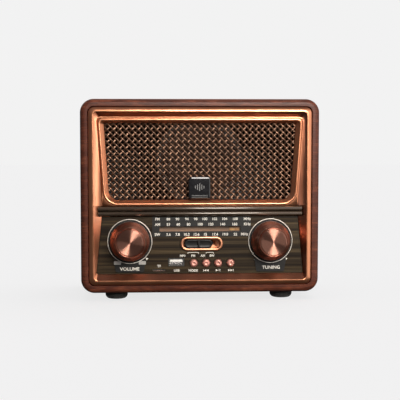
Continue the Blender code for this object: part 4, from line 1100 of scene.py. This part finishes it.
def badge():
    """The glossy domed badge, with a thin frame line and a plain motif of five bars."""
    width, height = BADGE_HIGH.x - BADGE_LOW.x, BADGE_HIGH.z - BADGE_LOW.z
    x, z = (BADGE_HIGH.x + BADGE_LOW.x) / 2, (BADGE_HIGH.z + BADGE_LOW.z) / 2
    front, back = BADGE_LOW.y, BADGE_HIGH.y
    rings = [at_depth(rectangle(width - 0.0003, height - 0.0003, 0.0021, x, z), back)]
    dome = ((0.0, 0.0011), (0.0001, 0.0008), (0.0004, 0.0005), (0.0009, 0.0003), (0.0020, 0.0002),
            (0.0040, 0.0001), (0.0065, 0.00003))
    for inset, depth in dome:
        ring = rectangle(width - 2 * inset, height - 2 * inset, max(0.0022 - 0.6 * inset, 0.0003), x, z)
        rings.append(at_depth(ring, front + depth))
    mesh = lofted("badge", rings, sharp=50)
    add_piece("domed_badge", mesh, "gloss_black", replaces=["grille_badge"])
    bars = []
    heights = (0.0026, 0.0046, 0.0068, 0.0046, 0.0026)
    for index, tall in enumerate(heights):
        bar_x = x + (index - 2) * 0.0019
        bar = stadium(0.0008, tall, bar_x, z + 0.0006)
        bars.append(filled_mesh("bar", [bar], (front + 0.00002, front + 0.0004)))
    for level in (0.0067, 0.0082):
        line = stadium(0.0140, 0.00045, x, z - level)
        bars.append(filled_mesh("line", [line], (front + 0.0001, front + 0.0006)))
    add_piece("badge_motif", joined_mesh("badge_motif", bars), "badge_ink")


def trim_bar():
    """The smoked double rail: two half-round rails with a narrow groove between them."""
    flat, proud, groove = 0.0012, TRIM_LOW.y, 0.0018
    lower_top, upper_bottom = 0.0718, 0.0723
    rails = ((TRIM_LOW.z, lower_top), (upper_bottom, TRIM_HIGH.z))
    section = [(TRIM_HIGH.y, TRIM_LOW.z), (flat, TRIM_LOW.z)]
    for low, high in rails:
        for angle in sweep(180, 16)[1:-1]:
            rise = (high + low) / 2 - (high - low) / 2 * math.cos(angle)
            section.append((flat + (proud - flat) * math.sin(angle), rise))
        section.append((groove, high))
    section.append((TRIM_HIGH.y, TRIM_HIGH.z))
    half = TRIM_HIGH.x
    rings = []
    for x, shrink in ((-half, 0.0004), (-half + 0.0001, 0.00015), (-half + 0.0004, 0), (half - 0.0004, 0),
                      (half - 0.0001, 0.00015), (half, 0.0004)):
        middle_z = (TRIM_LOW.z + TRIM_HIGH.z) / 2
        share = 1 - 2 * shrink / (TRIM_HIGH.z - TRIM_LOW.z)
        rings.append([(x, y + shrink, middle_z + (z - middle_z) * share) for y, z in section])
    add_piece("smoked_rails", lofted("smoked_rails", rings, sharp=50), "smoked", replaces=["trim_bar"])


def dial_panel():
    """The striped veneer panel with its openings cut clean."""
    inset = GAP
    edge = outline([
        (HALF_AT_WAIST_BOTTOM - inset, PANEL_HIGH.z, 0.0006),
        (-HALF_AT_WAIST_BOTTOM + inset, PANEL_HIGH.z, 0.0006),
        (-HALF_AT_PANEL_BOTTOM + inset, PANEL_LOW.z, 0.0018),
        (HALF_AT_PANEL_BOTTOM - inset, PANEL_LOW.z, 0.0018),
    ])
    mesh = filled_mesh("veneer_panel", [edge, *panel_holes(0)], (PANEL_LOW.y, PANEL_HIGH.y))
    panel = add_piece("veneer_panel", mesh, "zebrano", replaces=["dial_panel"])
    bevel(panel, 0.00015, 2)


# ---- printing on the panel ----

INK = 0.00006  # how far the print stands before the panel
INK_Y = (PANEL_LOW.y - INK, PANEL_LOW.y + 0.0001)
LABEL_Y = PANEL_LOW.y - 0.0008  # the front of the knobs' raised labels
LABEL_INK_Y = (LABEL_Y - INK, LABEL_Y + 0.0001)
SCALE_ROWS = (
    (0.0650, (("FM", -0.0378), ("88", -0.0282), ("90", -0.0202), ("94", -0.0119), ("98", -0.0041),
              ("100", 0.0041), ("102", 0.0128), ("104", 0.0217), ("108", 0.0310), ("MHz", 0.0416))),
    (0.0603, (("AM", -0.0378), ("53", -0.0282), ("60", -0.0194), ("80", -0.0103), ("100", 0.0),
              ("120", 0.0095), ("140", 0.0199), ("160", 0.0306), ("KHz", 0.0416))),
    (0.0514, (("SW", -0.0378), ("5.6", -0.0280), ("7.8", -0.0200), ("10.2", -0.0119), ("12.6", -0.0033),
              ("15", 0.0046), ("17.4", 0.0133), ("19.8", 0.0222), ("22", 0.0311), ("MHz", 0.0392))),
)


def text_mesh(words, height, x, z, ys, width=None, facing=1):
    """Solid lettering, `height` tall and centred on (x, z). It faces the front, or the back at facing -1."""
    curve = bpy.data.curves.new(words, "FONT")
    curve.body = words
    curve.size = height
    curve.extrude = (ys[1] - ys[0]) / 2
    curve.offset = 0.022 * height
    curve.resolution_u = 3
    shape = shape_of(bpy.data.objects.new(words, curve))
    bpy.data.curves.remove(curve)
    lows = [min(vert.co[axis] for vert in shape.verts) for axis in (0, 1)]
    highs = [max(vert.co[axis] for vert in shape.verts) for axis in (0, 1)]
    tall = height / (highs[1] - lows[1])
    wide = width / (highs[0] - lows[0]) if width else tall
    for vert in shape.verts:
        across, up, depth = vert.co
        vert.co = (
            x + facing * wide * (across - (lows[0] + highs[0]) / 2),
            (ys[0] + ys[1]) / 2 - facing * depth,
            z + tall * (up - (lows[1] + highs[1]) / 2),
        )
    return finished_mesh("text", shape)


def triangle(x, z, size, heading):
    """A small solid arrowhead that points left (-1) or right (1)."""
    corners = [Vector((x + heading * size / 2, z)), Vector((x - heading * size / 2, z + size / 2)),
               Vector((x - heading * size / 2, z - size / 2))]
    return filled_mesh("triangle", [corners], INK_Y)


def upright_bar(x, z, height):
    return filled_mesh("bar", [rectangle(0.0004, height, 0, x, z)], INK_Y)


def player_marks():
    """The previous, play and next marks below their buttons."""
    previous, play, following = button_spots()[1:]
    z, size = 0.0194, 0.0020
    marks = [upright_bar(previous.x - 0.0024, z, size)]
    marks += [triangle(previous.x + shift, z, size, -1) for shift in (-0.0010, 0.0012)]
    marks.append(triangle(play.x - 0.0010, z, size, 1))
    marks += [upright_bar(play.x + shift, z, size) for shift in (0.0008, 0.0017)]
    marks += [triangle(following.x + shift, z, size, 1) for shift in (-0.0012, 0.0010)]
    marks.append(upright_bar(following.x + 0.0024, z, size))
    return marks


def switch_marks():
    """Brackets under the switch that join its positions to the words below."""
    marks = []
    top = SWITCH_Z - 0.0078
    for left, right in ((-0.0112, -0.0014), (0.0050, 0.0118)):
        bracket = rectangle(right - left, 0.0004, 0, (left + right) / 2, top)
        marks.append(filled_mesh("bracket", [bracket], INK_Y))
        for x in (left + 0.0002, right - 0.0002):
            marks.append(upright_bar(x, top - 0.0006, 0.0012))
    return marks


def lettering():
    """All the pale printing on the panel: the scales, the names of the controls and their marks."""
    words = []
    for z, row in SCALE_ROWS:
        for text, x in row:
            words.append(text_mesh(text, 0.0024, x, z, INK_Y))
    usb, card = middle("usb_port"), middle("card_slot")
    spots = button_spots()
    words.append(text_mesh("VOLUME", 0.0029, -KNOB_X - 0.0003, 0.0212, LABEL_INK_Y, 0.0172))
    words.append(text_mesh("TUNING", 0.0029, KNOB_X + 0.0007, 0.0219, LABEL_INK_Y, 0.0158))
    name_height, band_height, band_z = 0.0022, 0.0021, 0.0325
    words.append(text_mesh("USB", name_height, usb.x + 0.0004, 0.0195, INK_Y))
    words.append(text_mesh("TF", name_height, card.x, card.z + 0.0037, INK_Y))
    words.append(text_mesh("MODE", name_height, spots[0].x - 0.0004, 0.0194, INK_Y))
    for text, x in (("MP3", -0.0156), ("FM", -0.0062), ("AM", 0.0022), ("SW", 0.0104)):
        words.append(text_mesh(text, band_height, x, band_z, INK_Y))
    words += player_marks() + switch_marks()
    add_piece("panel_lettering", joined_mesh("panel_lettering", words), "cream_ink")


def label_plate(x, half_top, half_bottom, top, bottom):
    """The outline of the label below a knob. Its top is hollowed to clear the knob's skirt."""
    clearance = 0.0181
    steps = 24
    limit = math.acos((KNOB_Z - top) / clearance)
    arc = []
    for step in range(steps + 1):
        angle = limit * (2 * step / steps - 1)
        arc.append((x + clearance * math.sin(-angle), KNOB_Z - clearance * math.cos(angle), 0))
    return outline([(x + half_top, top, 0.0008), *arc, (x - half_top, top, 0.0008),
                    (x - half_bottom, bottom, 0.0016), (x + half_bottom, bottom, 0.0016)], 6)


def black_print():
    """The black areas: behind the scales, under each knob and round its name."""
    ink = (PANEL_LOW.y - INK / 2, PANEL_LOW.y + 0.0001)
    back = rectangle(0.0870, 0.0176, 0.0008, 0.0012, 0.0582, 4)
    areas = [filled_mesh("scale_back", [back, window_outline(0)], ink)]
    for x in (-KNOB_X, KNOB_X):
        plate = label_plate(x, 0.0142, 0.0122, 0.0302, 0.0182)
        areas.append(filled_mesh("label", [plate], (LABEL_Y, PANEL_LOW.y + 0.0001)))
        disc = [circle(0.0187, x, KNOB_Z, 96), circle(0.0070, x, KNOB_Z, 48)]
        areas.append(filled_mesh("under_knob", disc, (ink[0] - 0.00001, ink[1])))
    add_piece("black_print", joined_mesh("black_print", areas), "black_ink")


def knob_marks():
    """Two grey windows on the volume label, and the pale wedges at the ends of each ring's scale."""
    boxes = []
    width, height, z = 0.0062, 0.0031, 0.0266
    for shift in (-0.0109, 0.0109):
        box = rectangle(width, height, 0.0005, -KNOB_X + shift, z, 4)
        boxes.append(filled_mesh("window", [box], LABEL_INK_Y))
    add_piece("volume_windows", joined_mesh("volume_windows", boxes), "grey_ink")
    wedges = []
    for x, degrees in ((-KNOB_X, 314), (KNOB_X, 232), (KNOB_X, 311)):
        heading = math.radians(degrees)
        out = Vector((math.cos(heading), math.sin(heading)))
        side = Vector((-out.y, out.x))
        centre = Vector((x, KNOB_Z))
        base, half = centre + out * 0.0222, side * 0.0012
        corners = [centre + out * 0.0200, base + half, base - half]
        wedges.append(filled_mesh("wedge", [corners], INK_Y))
    add_piece("ring_wedges", joined_mesh("ring_wedges", wedges), "cream_ink")


# ---- controls ----


def knob(side):
    """The flared knob with a rolled lip, the spun disc in its face, and the pale ring round it."""
    low, high = local_box(f"{side}_knob")
    x, base = (low.x + high.x) / 2, (high.x - low.x) / 2
    back = high.y
    cap_low, cap_high = local_box(f"{side}_knob_cap")
    cap_radius = (cap_high.x - cap_low.x) / 2
    face = back - cap_low.y
    bore, skirt_depth, cap_depth = 0.0033, 0.0120, 0.0026
    outer = rounded_profile([
        (cap_radius + GAP, face - 0.0014),
        (cap_radius + GAP, face - 0.0003),
        (cap_radius + 0.0008, face - 0.0002),
        (0.0130, face - 0.0012),
        (0.0135, face - 0.0070),
        (0.0148, face - 0.0120),
        (base, 0.0034),
        (base, 0.0000),
        (0.0150, 0.0000),
        (0.0124, skirt_depth),
        (bore, skirt_depth),
        (bore, face - cap_depth),
        (0.0004, face - cap_depth),
        (0.0004, face - 0.0014),
    ], 0.0010, 6)
    body = f"{side}_knob"
    add_piece(f"{side}_knob_shell", turned_mesh(body, outer, 128, closed=True), "knob_copper",
              body, [body], (x, back, KNOB_Z), FACING_FRONT)
    disc = rounded_profile([
        (0, face - 0.00012),
        (0.0010, face - 0.00010),
        (cap_radius - 0.0009, face - 0.00004),
        (cap_radius - 0.0006, face),
        (cap_radius, face - 0.0004),
        (cap_radius, face - 0.0011),
        (0, face - 0.0011),
    ], 0.0002, 3)
    add_piece(f"{side}_knob_disc", turned_mesh(f"{side}_knob_disc", disc, 128), "spun",
              body, [f"{side}_knob_cap"], (x, back, KNOB_Z), FACING_FRONT)
    ring_low, ring_high = local_box(f"{side}_knob_ring")
    ring_radius = (ring_high.x - ring_low.x) / 2
    tall = ring_high.y - ring_low.y
    inside = ring_radius - 0.0006
    ring = rounded_profile([(inside, tall / 2), (inside, tall), (ring_radius, tall), (ring_radius, 0),
                            (inside, 0), (inside, tall / 2)], 0.0002, 3)
    add_piece(f"{side}_ring", turned_mesh(f"{side}_ring", ring[:-1], 160, closed=True), "pale_ring",
              "cabinet", [f"{side}_knob_ring"], (x, ring_high.y, KNOB_Z), FACING_FRONT)


def band_switch():
    """The copper dish with a rolled lip, and the black slider with its grip rib."""
    low, high = local_box("band_switch_bezel")
    width, height = high.x - low.x, high.z - low.z
    lip = (width - SWITCH_RECESS[0]) / 2

    def ring(inset, y):
        return at_depth(stadium(width - 2 * inset, height - 2 * inset, SWITCH_X, SWITCH_Z), y)

    rings = [ring(0.0, 0.0030), ring(0.0, low.y + 0.0008)]
    for angle in sweep(180, 8)[1:-1]:
        rings.append(ring(lip * (1 - math.cos(angle)) / 2, low.y + 0.0008 - 0.0008 * math.sin(angle)))
    cup, back_y, dish_y = lip - 0.0010, 0.0090, 0.0078
    rings = [ring(cup, back_y), ring(cup, 0.0030), *rings,
             ring(lip, low.y + 0.0010), ring(lip, dish_y), ring(lip + 0.0001, dish_y)]
    mesh = lofted("switch_dish", rings, sharp=35)
    dish = add_piece("switch_dish", mesh, "dish_copper", replaces=["band_switch_bezel"])
    slot = block_mesh("switch_slot", (SWITCH_X - 0.0110, SWITCH_X + 0.0110), (0.0070, 0.0100),
                      (SWITCH_Z - 0.0013, SWITCH_Z + 0.0013))
    boolean(dish, slot, "DIFFERENCE")
    slider()


def slider():
    """The slider: a black stadium with a bevelled face, a grip rib at its middle and a stem behind."""
    low, high = local_box("band_switch_slider")
    x = (low.x + high.x) / 2
    width, height = high.x - low.x, high.z - low.z

    def ring(inset, y):
        return at_depth(stadium(width - 2 * inset, height - 2 * inset, x, SWITCH_Z), y)

    sides = ((0.0002, 0.0072), (0, 0.0070), (0, 0.0008), (0.0002, 0.0003), (0.0006, 0.00005),
             (0.0009, 0.0), (0.0016, 0.0003), (0.0030, 0.0004))
    mesh = lofted("slider", [ring(inset, y) for inset, y in sides], sharp=35)
    add_piece("slider_body", mesh, "satin_black", "band_switch", ["band_switch_slider"])
    rib = [at_depth(rectangle(0.0016 - 2 * inset, 0.0060 - 2 * inset, 0.0002, x, SWITCH_Z, 3), y)
           for inset, y in ((0, 0.0006), (0, -0.0008), (0.0002, -0.0011), (0.0004, low.y))]
    add_piece("slider_rib", lofted("slider_rib", rib), "satin_black", "band_switch")
    stem = block_mesh("slider_stem", (x - 0.0020, x + 0.0020), (0.0068, high.y),
                      (SWITCH_Z - 0.0009, SWITCH_Z + 0.0009))
    bevel(add_piece("slider_stem", stem, "satin_black", "band_switch"), 0.0002, 2)


def buttons():
    """Domed buttons with a finger dimple, each with a flange and a stem behind the panel."""
    dome = [(0, 0.0021), (0.0006, 0.0021), (0.0011, 0.00235), (0.0016, 0.0026), (0.0021, 0.0025),
            (0.0028, 0.0020), (0.0033, 0.0012), (BUTTON_RADIUS, 0.0004), (BUTTON_RADIUS, -0.0046),
            (0.0047, -0.0046), (0.0047, -0.0056), (0.0018, -0.0056), (0.0018, -0.0068), (0, -0.0068)]
    for name, spot in zip(BUTTON_NAMES, button_spots()):
        mesh = turned_mesh(f"{name}_dome", rounded_profile(dome, 0.0004, 4), 64)
        add_piece(f"{name}_dome", mesh, "rose_copper", name, [name],
                  (spot.x, PANEL_LOW.y, spot.z), FACING_FRONT)


def socket_details():
    """Four gilt contacts on the USB tongue."""
    low, high = local_box("usb_tongue")
    contacts, half = [], 0.0006
    for index in range(4):
        x = low.x + (high.x - low.x) * (index + 0.5) / 4
        contacts.append(block_mesh("contact", (x - half, x + half), (low.y + 0.0006, high.y - 0.0020),
                                   (low.z - 0.00008, low.z + 0.0002)))
    add_piece("usb_contacts", joined_mesh("usb_contacts", contacts), "gold")


# ---- rear ----


def door_outline(grow, radius=0.0010):
    low, high = local_box("battery_door")
    width, height = high.x - low.x + 2 * grow, high.z - low.z + 2 * grow
    return rectangle(width, height, radius, 0, (low.z + high.z) / 2, 4)


def rear_cover():
    """The moulded back: vents, counterbored screw holes, the battery tray, the antenna's boss and rest."""
    low, high = local_box("rear_cover")
    width, height = high.x - low.x, high.z - low.z
    edge = rectangle(width, height, BEZEL_CORNER, 0, MID_Z)
    dc, aux = middle("dc_socket"), middle("aux_socket")
    dc_hole, aux_hole = 0.0040, 0.0033
    shared = [door_outline(GAP), circle(dc_hole, dc.x, dc.z), circle(aux_hole, aux.x, aux.z)]
    vents = [stadium(0.0026, 0.0340, x, VENTS_Z) for x in VENT_XS]
    antenna = middle("antenna_swivel")
    step_y, overlap = 0.1024, 0.00001
    layers = ((COVER_Y[0], step_y, SCREW_HOLE), (step_y - overlap, COVER_Y[1], SCREW_COUNTERBORE))
    plates = []
    for front, back, hole in layers:
        screws = [circle(hole, x, z, 40) for x, z in SCREW_SPOTS]
        socket = circle(SWIVEL_HOLE, antenna.x, antenna.z)
        plates.append(filled_mesh("cover", [edge, *shared, *vents, *screws, socket], (front, back)))
    cover = add_piece("back_cover", plates[1], "black", replaces=["rear_cover"])
    bevel(cover, 0.00025, 2)
    add_piece("back_cover_inner", plates[0], "black")
    tray_y = (0.0770, 0.1015)
    tray = lofted("battery_tray", [
        at_depth(door_outline(0.0015, 0.0020), tray_y[0]),
        at_depth(door_outline(0.0015, 0.0020), tray_y[1]),
        at_depth(door_outline(-0.0008, 0.0010), tray_y[1]),
        at_depth(door_outline(-0.0008, 0.0010), tray_y[0] + 0.0015),
    ])
    add_piece("battery_tray", tray, "black")
    boss = turned_mesh("antenna_boss", rounded_profile(
        [(SWIVEL_HOLE, 0), (0.0085, 0), (0.0085, 0.0080), (SWIVEL_HOLE, 0.0080)], 0.0003), 64, closed=True)
    add_piece("antenna_boss", boss, "black", place=(antenna.x, COVER_Y[0], antenna.z), turn=FACING_FRONT)
    antenna_rest(antenna.z)
    cover_details(dc, aux)


def cover_details(dc, aux):
    """A raised frame round the vents, baffles behind them, and grey names beside the two sockets."""
    raised = (COVER_Y[1] - 0.0002, COVER_Y[1] + 0.0005)
    outer = rectangle(0.0720, 0.0440, 0.0040, 0, VENTS_Z)
    inner = rectangle(0.0700, 0.0420, 0.0030, 0, VENTS_Z)
    relief = filled_mesh("cover_relief", [outer, inner], raised)
    add_piece("cover_relief", relief, "black")
    words = [text_mesh("DC 5V", 0.0036, dc.x + 0.0160, dc.z, raised, facing=-1)]
    words.append(text_mesh("AUX", 0.0036, aux.x + 0.0130, aux.z, raised, facing=-1))
    add_piece("cover_lettering", joined_mesh("cover_lettering", words), "grey_ink")
    baffles = []
    for x in VENT_XS:
        baffles.append(block_mesh("baffle", (x - 0.0020, x + 0.0020), (0.0986, 0.0992), (0.0815, 0.1185)))
        for z in (0.0815, 0.1175):
            baffles.append(block_mesh("leg", (x - 0.0020, x + 0.0020), (0.0990, 0.1012), (z, z + 0.0010)))
    add_piece("vent_baffles", joined_mesh("vent_baffles", baffles), "black")


def antenna_rest(antenna_z):
    """The small shelf that the folded antenna lies on."""
    zs = (antenna_z - 0.0060, antenna_z - 0.0036)
    rest = block_mesh("antenna_rest", (-0.0480, -0.0420), (0.1035, 0.1130), zs)
    bevel(add_piece("antenna_rest", rest, "black"), 0.0004, 3)


def battery_door():
    """The battery door with its finger recess and three grip ridges."""
    low, high = local_box("battery_door")
    mesh = filled_mesh("door_plate", [door_outline(0)], (low.y, high.y))
    door = add_piece("door_plate", mesh, "black", "battery_door", ["battery_door"])
    recess = [at_depth(rectangle(0.0160 - 2 * inset, 0.0060 - 2 * inset, 0.0020, 0, high.z - 0.0055, 8), y)
              for inset, y in ((0, high.y + 0.0010), (0, high.y - 0.0010), (0.0004, high.y - 0.0015))]
    boolean(door, lofted("door_grip", recess), "DIFFERENCE")
    bevel(door, 0.0003, 2)
    ridges = []
    for index in range(3):
        z = high.z - 0.0120 - 0.0022 * index
        ridge = stadium(0.0160, 0.0009, 0, z)
        ridges.append(filled_mesh("ridge", [ridge], (high.y - 0.0004, high.y + 0.0005)))
    add_piece("door_ridges", joined_mesh("door_ridges", ridges), "black", "battery_door")


def rear_screws():
    """Pan-head screws with a cross recess."""
    profile = rounded_profile([(0, 0.0006), (0.0022, 0.0004), (0.0031, -0.0003), (0.0031, -0.0009),
                               (0.0014, -0.0009), (0.0014, -0.0140), (0, -0.0150)], 0.0004)
    for index, (x, z) in enumerate(SCREW_SPOTS, 1):
        screw = add_piece(f"screw_{index}", turned_mesh(f"screw_{index}", profile, 48), "plated",
                          "cabinet", [f"rear_screw_{index}"], (x, 0.1036, z), FACING_BACK)
        for turn, (half_x, half_y) in enumerate(((0.0017, 0.0003), (0.0003, 0.0017))):
            arm = block_mesh(f"recess_{index}_{turn}", (-half_x, half_x), (-half_y, half_y),
                             (-0.0006, 0.0020))
            boolean(screw, arm, "DIFFERENCE")


# ---- antenna ----


def antenna():
    """The swivel with its fork, and four polished sections, each with a rolled lip at its mouth."""
    pivot = middle("antenna_swivel")
    swivel_high = local_box("antenna_swivel")[1]
    place = (pivot.x, COVER_Y[1] + GAP, pivot.z)
    profile = rounded_profile([(0, 0.0022), (0.0062, 0.0022), (0.0062, 0.0000), (0.0030, 0.0000),
                               (0.0030, -0.0080), (0, -0.0080)], 0.0004)
    add_piece("swivel_disc", turned_mesh("swivel_disc", profile, 64), "plated",
              "antenna_base", ["antenna_swivel"], place, FACING_BACK)
    axis_y = middle("antenna_section_4").y
    for name, sign in (("upper", 1), ("lower", -1)):
        inner, outer = sorted((sign * 0.0023, sign * 0.0040))
        ear = block_mesh(f"{name}_ear", (pivot.x - 0.0034, pivot.x + 0.0034), (0.1060, swivel_high.y),
                         (pivot.z + inner, pivot.z + outer))
        bevel(add_piece(f"{name}_ear", ear, "plated", "antenna_base"), 0.0005, 3)
    pin = rounded_profile([(0, 0.0039), (0.0010, 0.0039), (0.0010, -0.0039), (0, -0.0039)], 0.0002)
    add_piece("tilt_pin", turned_mesh("tilt_pin", pin, 32), "drawn", "antenna_base",
              place=(pivot.x, axis_y, pivot.z))
    bodies = ("antenna_rod", "antenna_second", "antenna_third", "antenna_tip")
    for index, (body, (outer, inner)) in enumerate(zip(bodies, ANTENNA_SECTIONS), 1):
        node = f"antenna_section_{index}"
        start = pivot.x - 0.0050 - 0.0020 * (index - 1)
        end = local_box(node)[0].x
        mesh = turned_mesh(node, section_profile(outer, inner, start, end), 48, closed=bool(inner))
        add_piece(f"antenna_tube_{index}", mesh, "drawn", body, [node], (0, axis_y, pivot.z), FACING_RIGHT)
    antenna_neck(pivot, axis_y)


def section_profile(outer, inner, start, end):
    """A tube with a rolled mouth, closed at its root, or for the last section a rod with a turned tip."""
    if inner:
        return rounded_profile([
            (inner, end), (outer, end), (outer, end + 0.0012), (outer - 0.0001, end + 0.0016),
            (outer - 0.0001, start - 0.0006), (outer - 0.0005, start), (0.0002, start),
            (0.0002, start - 0.0015), (inner, start - 0.0015), (inner, end + 0.0004),
        ], 0.0002, 2)
    tip = 0.0032
    return rounded_profile([
        (0, start), (outer, start), (outer, end + 0.0060), (tip - 0.0006, end + 0.0060),
        (tip, end + 0.0054), (tip, end + 0.0012), (tip - 0.0008, end), (0, end),
    ], 0.0004, 3)


def antenna_neck(pivot, axis_y):
    """The first section's flat neck and its eye round the pin."""
    eye_hole = 0.0013
    neck_end = pivot.x - 0.0054
    length = pivot.x - neck_end
    outer = 0.0031
    half = 0.0022
    points = []
    steps = 24
    for step in range(steps + 1):
        angle = math.radians(-90 + 180 * step / steps)
        points.append(Vector((outer * math.cos(angle), outer * math.sin(angle))))
    points = [Vector((-length, -half))] + points + [Vector((-length, half))]
    hole = circle(eye_hole, 0, 0, 32)
    mesh = filled_mesh("antenna_neck", [points, hole], (-0.0020, 0.0020))
    for vert in mesh.vertices:
        x, y, z = vert.co
        vert.co = (x, -z, y)
    neck = add_piece("antenna_neck", mesh, "plated", "antenna_rod",
                     place=(pivot.x, axis_y, pivot.z))
    bevel(neck, 0.0003, 2)


# ---- the CAD nodes that stay ----

CARRIED_OVER = {
    "clear": ("scale_window",),
    "rail_copper": ("pointer_rail",),
    "amber": ("tuning_pointer",),
    "plated": ("usb_port", "card_slot", "battery_spring", "volume_shaft", "tuning_shaft"),
    "black": ("dc_socket", "aux_socket"),
    "white": ("usb_tongue", "dial_drum", "idler_pulley_left", "idler_pulley_right"),
    "pressed_steel": ("band_switch_body", "volume_potentiometer", "tuning_capacitor"),
    "painted_steel": ("speaker_basket",),
    "board": ("key_board", "main_board"),
    "paper": ("speaker_cone",),
    "ferrite": ("speaker_magnet", "ferrite_rod"),
    "winding": ("ferrite_coil",),
    "cell": ("battery_cell",),
    "thread": ("dial_cord",),
}


def paint_carried_over():
    for look, nodes in CARRIED_OVER.items():
        for name in nodes:
            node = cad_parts[name]
            if not node.material_slots:
                node.data.materials.append(LOOKS[look])
            for spot in node.material_slots:
                spot.material = LOOKS[look]


# ---- camera, floor and lights ----

PALE_GREY = (0.888, 0.888, 0.888, 1)
DOME_BELOW = (0.06, 0.056, 0.052)
DOME_LEVEL = (0.15, 0.145, 0.14)
DOME_ABOVE = (0.26, 0.25, 0.27)
FLOOR_LOW, FLOOR_HIGH = (0.248, 0.248, 0.248), (0.252, 0.252, 0.252)


def camera():
    """The photograph's viewpoint: from the left of the middle and a little below the radio's top."""
    data = bpy.data.cameras.new("camera")
    data.lens = 82.5
    data.sensor_width = 36
    data.shift_x = 0.07
    data.shift_y = 0.05
    data.clip_start = 0.05
    data.clip_end = 60
    obj = bpy.data.objects.new("camera", data)
    bpy.context.scene.collection.objects.link(obj)
    obj.location = (-0.0667, EDGE.y - 0.8000, 0.1214)
    yaw, pitch, roll = math.radians(2.98), math.radians(-3.61), math.radians(0.09)
    obj.rotation_euler = (math.radians(90) + pitch, roll, -yaw)
    bpy.context.scene.camera = obj


def floor():
    """A wide pale floor that fades into the backdrop."""
    shape = bmesh.new()
    bmesh.ops.create_grid(shape, x_segments=8, y_segments=8, size=40)
    mesh = bpy.data.meshes.new("floor")
    shape.to_mesh(mesh)
    shape.free()
    obj = bpy.data.objects.new("floor", mesh)
    bpy.context.scene.collection.objects.link(obj)
    look = Look("floor", Specular_IOR_Level=0.0, Roughness=1.0, Emission_Color=PALE_GREY,
                Emission_Strength=0.86)
    look.colour(look.ramp(look.noise(2.0), [(0.3, FLOOR_LOW), (0.7, FLOOR_HIGH)]))
    mesh.materials.append(look.material)
    obj.visible_glossy = False
    obj.visible_diffuse = False
    return obj


def backdrop():
    """A pale even backdrop for the camera, and a soft studio dome, brighter above, for the light."""
    world = bpy.data.worlds.new("studio")
    bpy.context.scene.world = world
    world.use_nodes = True
    tree = world.node_tree
    tree.nodes.clear()
    spot = add_node(tree, "ShaderNodeTexCoord").outputs["Generated"]
    height = add_node(tree, "ShaderNodeSeparateXYZ", {0: spot}).outputs["Z"]
    lift = add_node(tree, "ShaderNodeMapRange", {"Value": height, "From Min": -1})
    shade = add_ramp(tree, lift.outputs[0], [(0, DOME_BELOW), (0.5, DOME_LEVEL), (1, DOME_ABOVE)])
    dome = add_node(tree, "ShaderNodeBackground", {"Color": shade})
    plain = add_node(tree, "ShaderNodeBackground", {"Color": PALE_GREY})
    seen = add_node(tree, "ShaderNodeLightPath").outputs["Is Camera Ray"]
    chosen = add_node(tree, "ShaderNodeMixShader", {0: seen, 1: dome.outputs[0], 2: plain.outputs[0]})
    add_node(tree, "ShaderNodeOutputWorld", {"Surface": chosen.outputs[0]})


def area_light(name, place, target, size, power, colour, ground):
    data = bpy.data.lights.new(name, "AREA")
    data.shape = "RECTANGLE"
    data.size, data.size_y = size
    data.energy = power
    data.color = colour
    obj = bpy.data.objects.new(name, data)
    bpy.context.scene.collection.objects.link(obj)
    obj.location = place
    obj.rotation_euler = (Vector(target) - Vector(place)).to_track_quat("-Z", "Y").to_euler()
    skip_floor(obj, ground)
    return obj


def skip_floor(light, ground):
    """Keeps a studio light off the floor, so that the floor stays even."""
    group = bpy.data.collections.new(f"{light.name}_receivers")
    group.objects.link(ground)
    light.light_linking.receiver_collection = group
    group.collection_objects[0].light_linking.link_state = "EXCLUDE"


def floor_light(ground):
    """An overhead light for the floor alone, which gives the radio its soft shadow."""
    data = bpy.data.lights.new("floor_light", "SUN")
    data.energy = 0.8
    data.angle = math.radians(60)
    obj = bpy.data.objects.new("floor_light", data)
    bpy.context.scene.collection.objects.link(obj)
    obj.rotation_euler = (math.radians(-14), math.radians(16), 0)
    group = bpy.data.collections.new("floor_light_receivers")
    group.objects.link(ground)
    obj.light_linking.receiver_collection = group


def lights(ground):
    target = (0, EDGE.y, 0.09)
    area_light("key", (0.19, -0.78, 0.45), target, (0.34, 0.34), 10.5, (1.0, 0.95, 0.88), ground)
    area_light("right_fill", (0.95, -0.55, 0.30), target, (1.5, 1.1), 8.0, (1.0, 0.96, 0.92), ground)
    area_light("overhead", (0.0, 0.55, 1.10), target, (1.4, 0.6), 5.0, (0.96, 0.96, 1.0), ground)
    back = area_light("back_fill", (-0.45, 1.20, 0.45), target, (1.2, 0.9), 18.0, (1.0, 1.0, 1.0), ground)
    back.visible_glossy = False
    area_light("rear_key", (-0.25, 0.80, 0.75), target, (0.4, 0.4), 4.0, (1.0, 1.0, 1.0), ground)


def build():
    cabinet_sleeve()
    feet()
    front_bezel()
    speaker_grille()
    badge()
    trim_bar()
    dial_panel()
    black_print()
    lettering()
    knob_marks()
    for side in ("volume", "tuning"):
        knob(side)
    band_switch()
    buttons()
    socket_details()
    rear_cover()
    battery_door()
    rear_screws()
    antenna()
    paint_carried_over()


build()
camera()
ground = floor()
backdrop()
floor_light(ground)
lights(ground)
bpy.context.scene.view_settings.view_transform = "Standard"
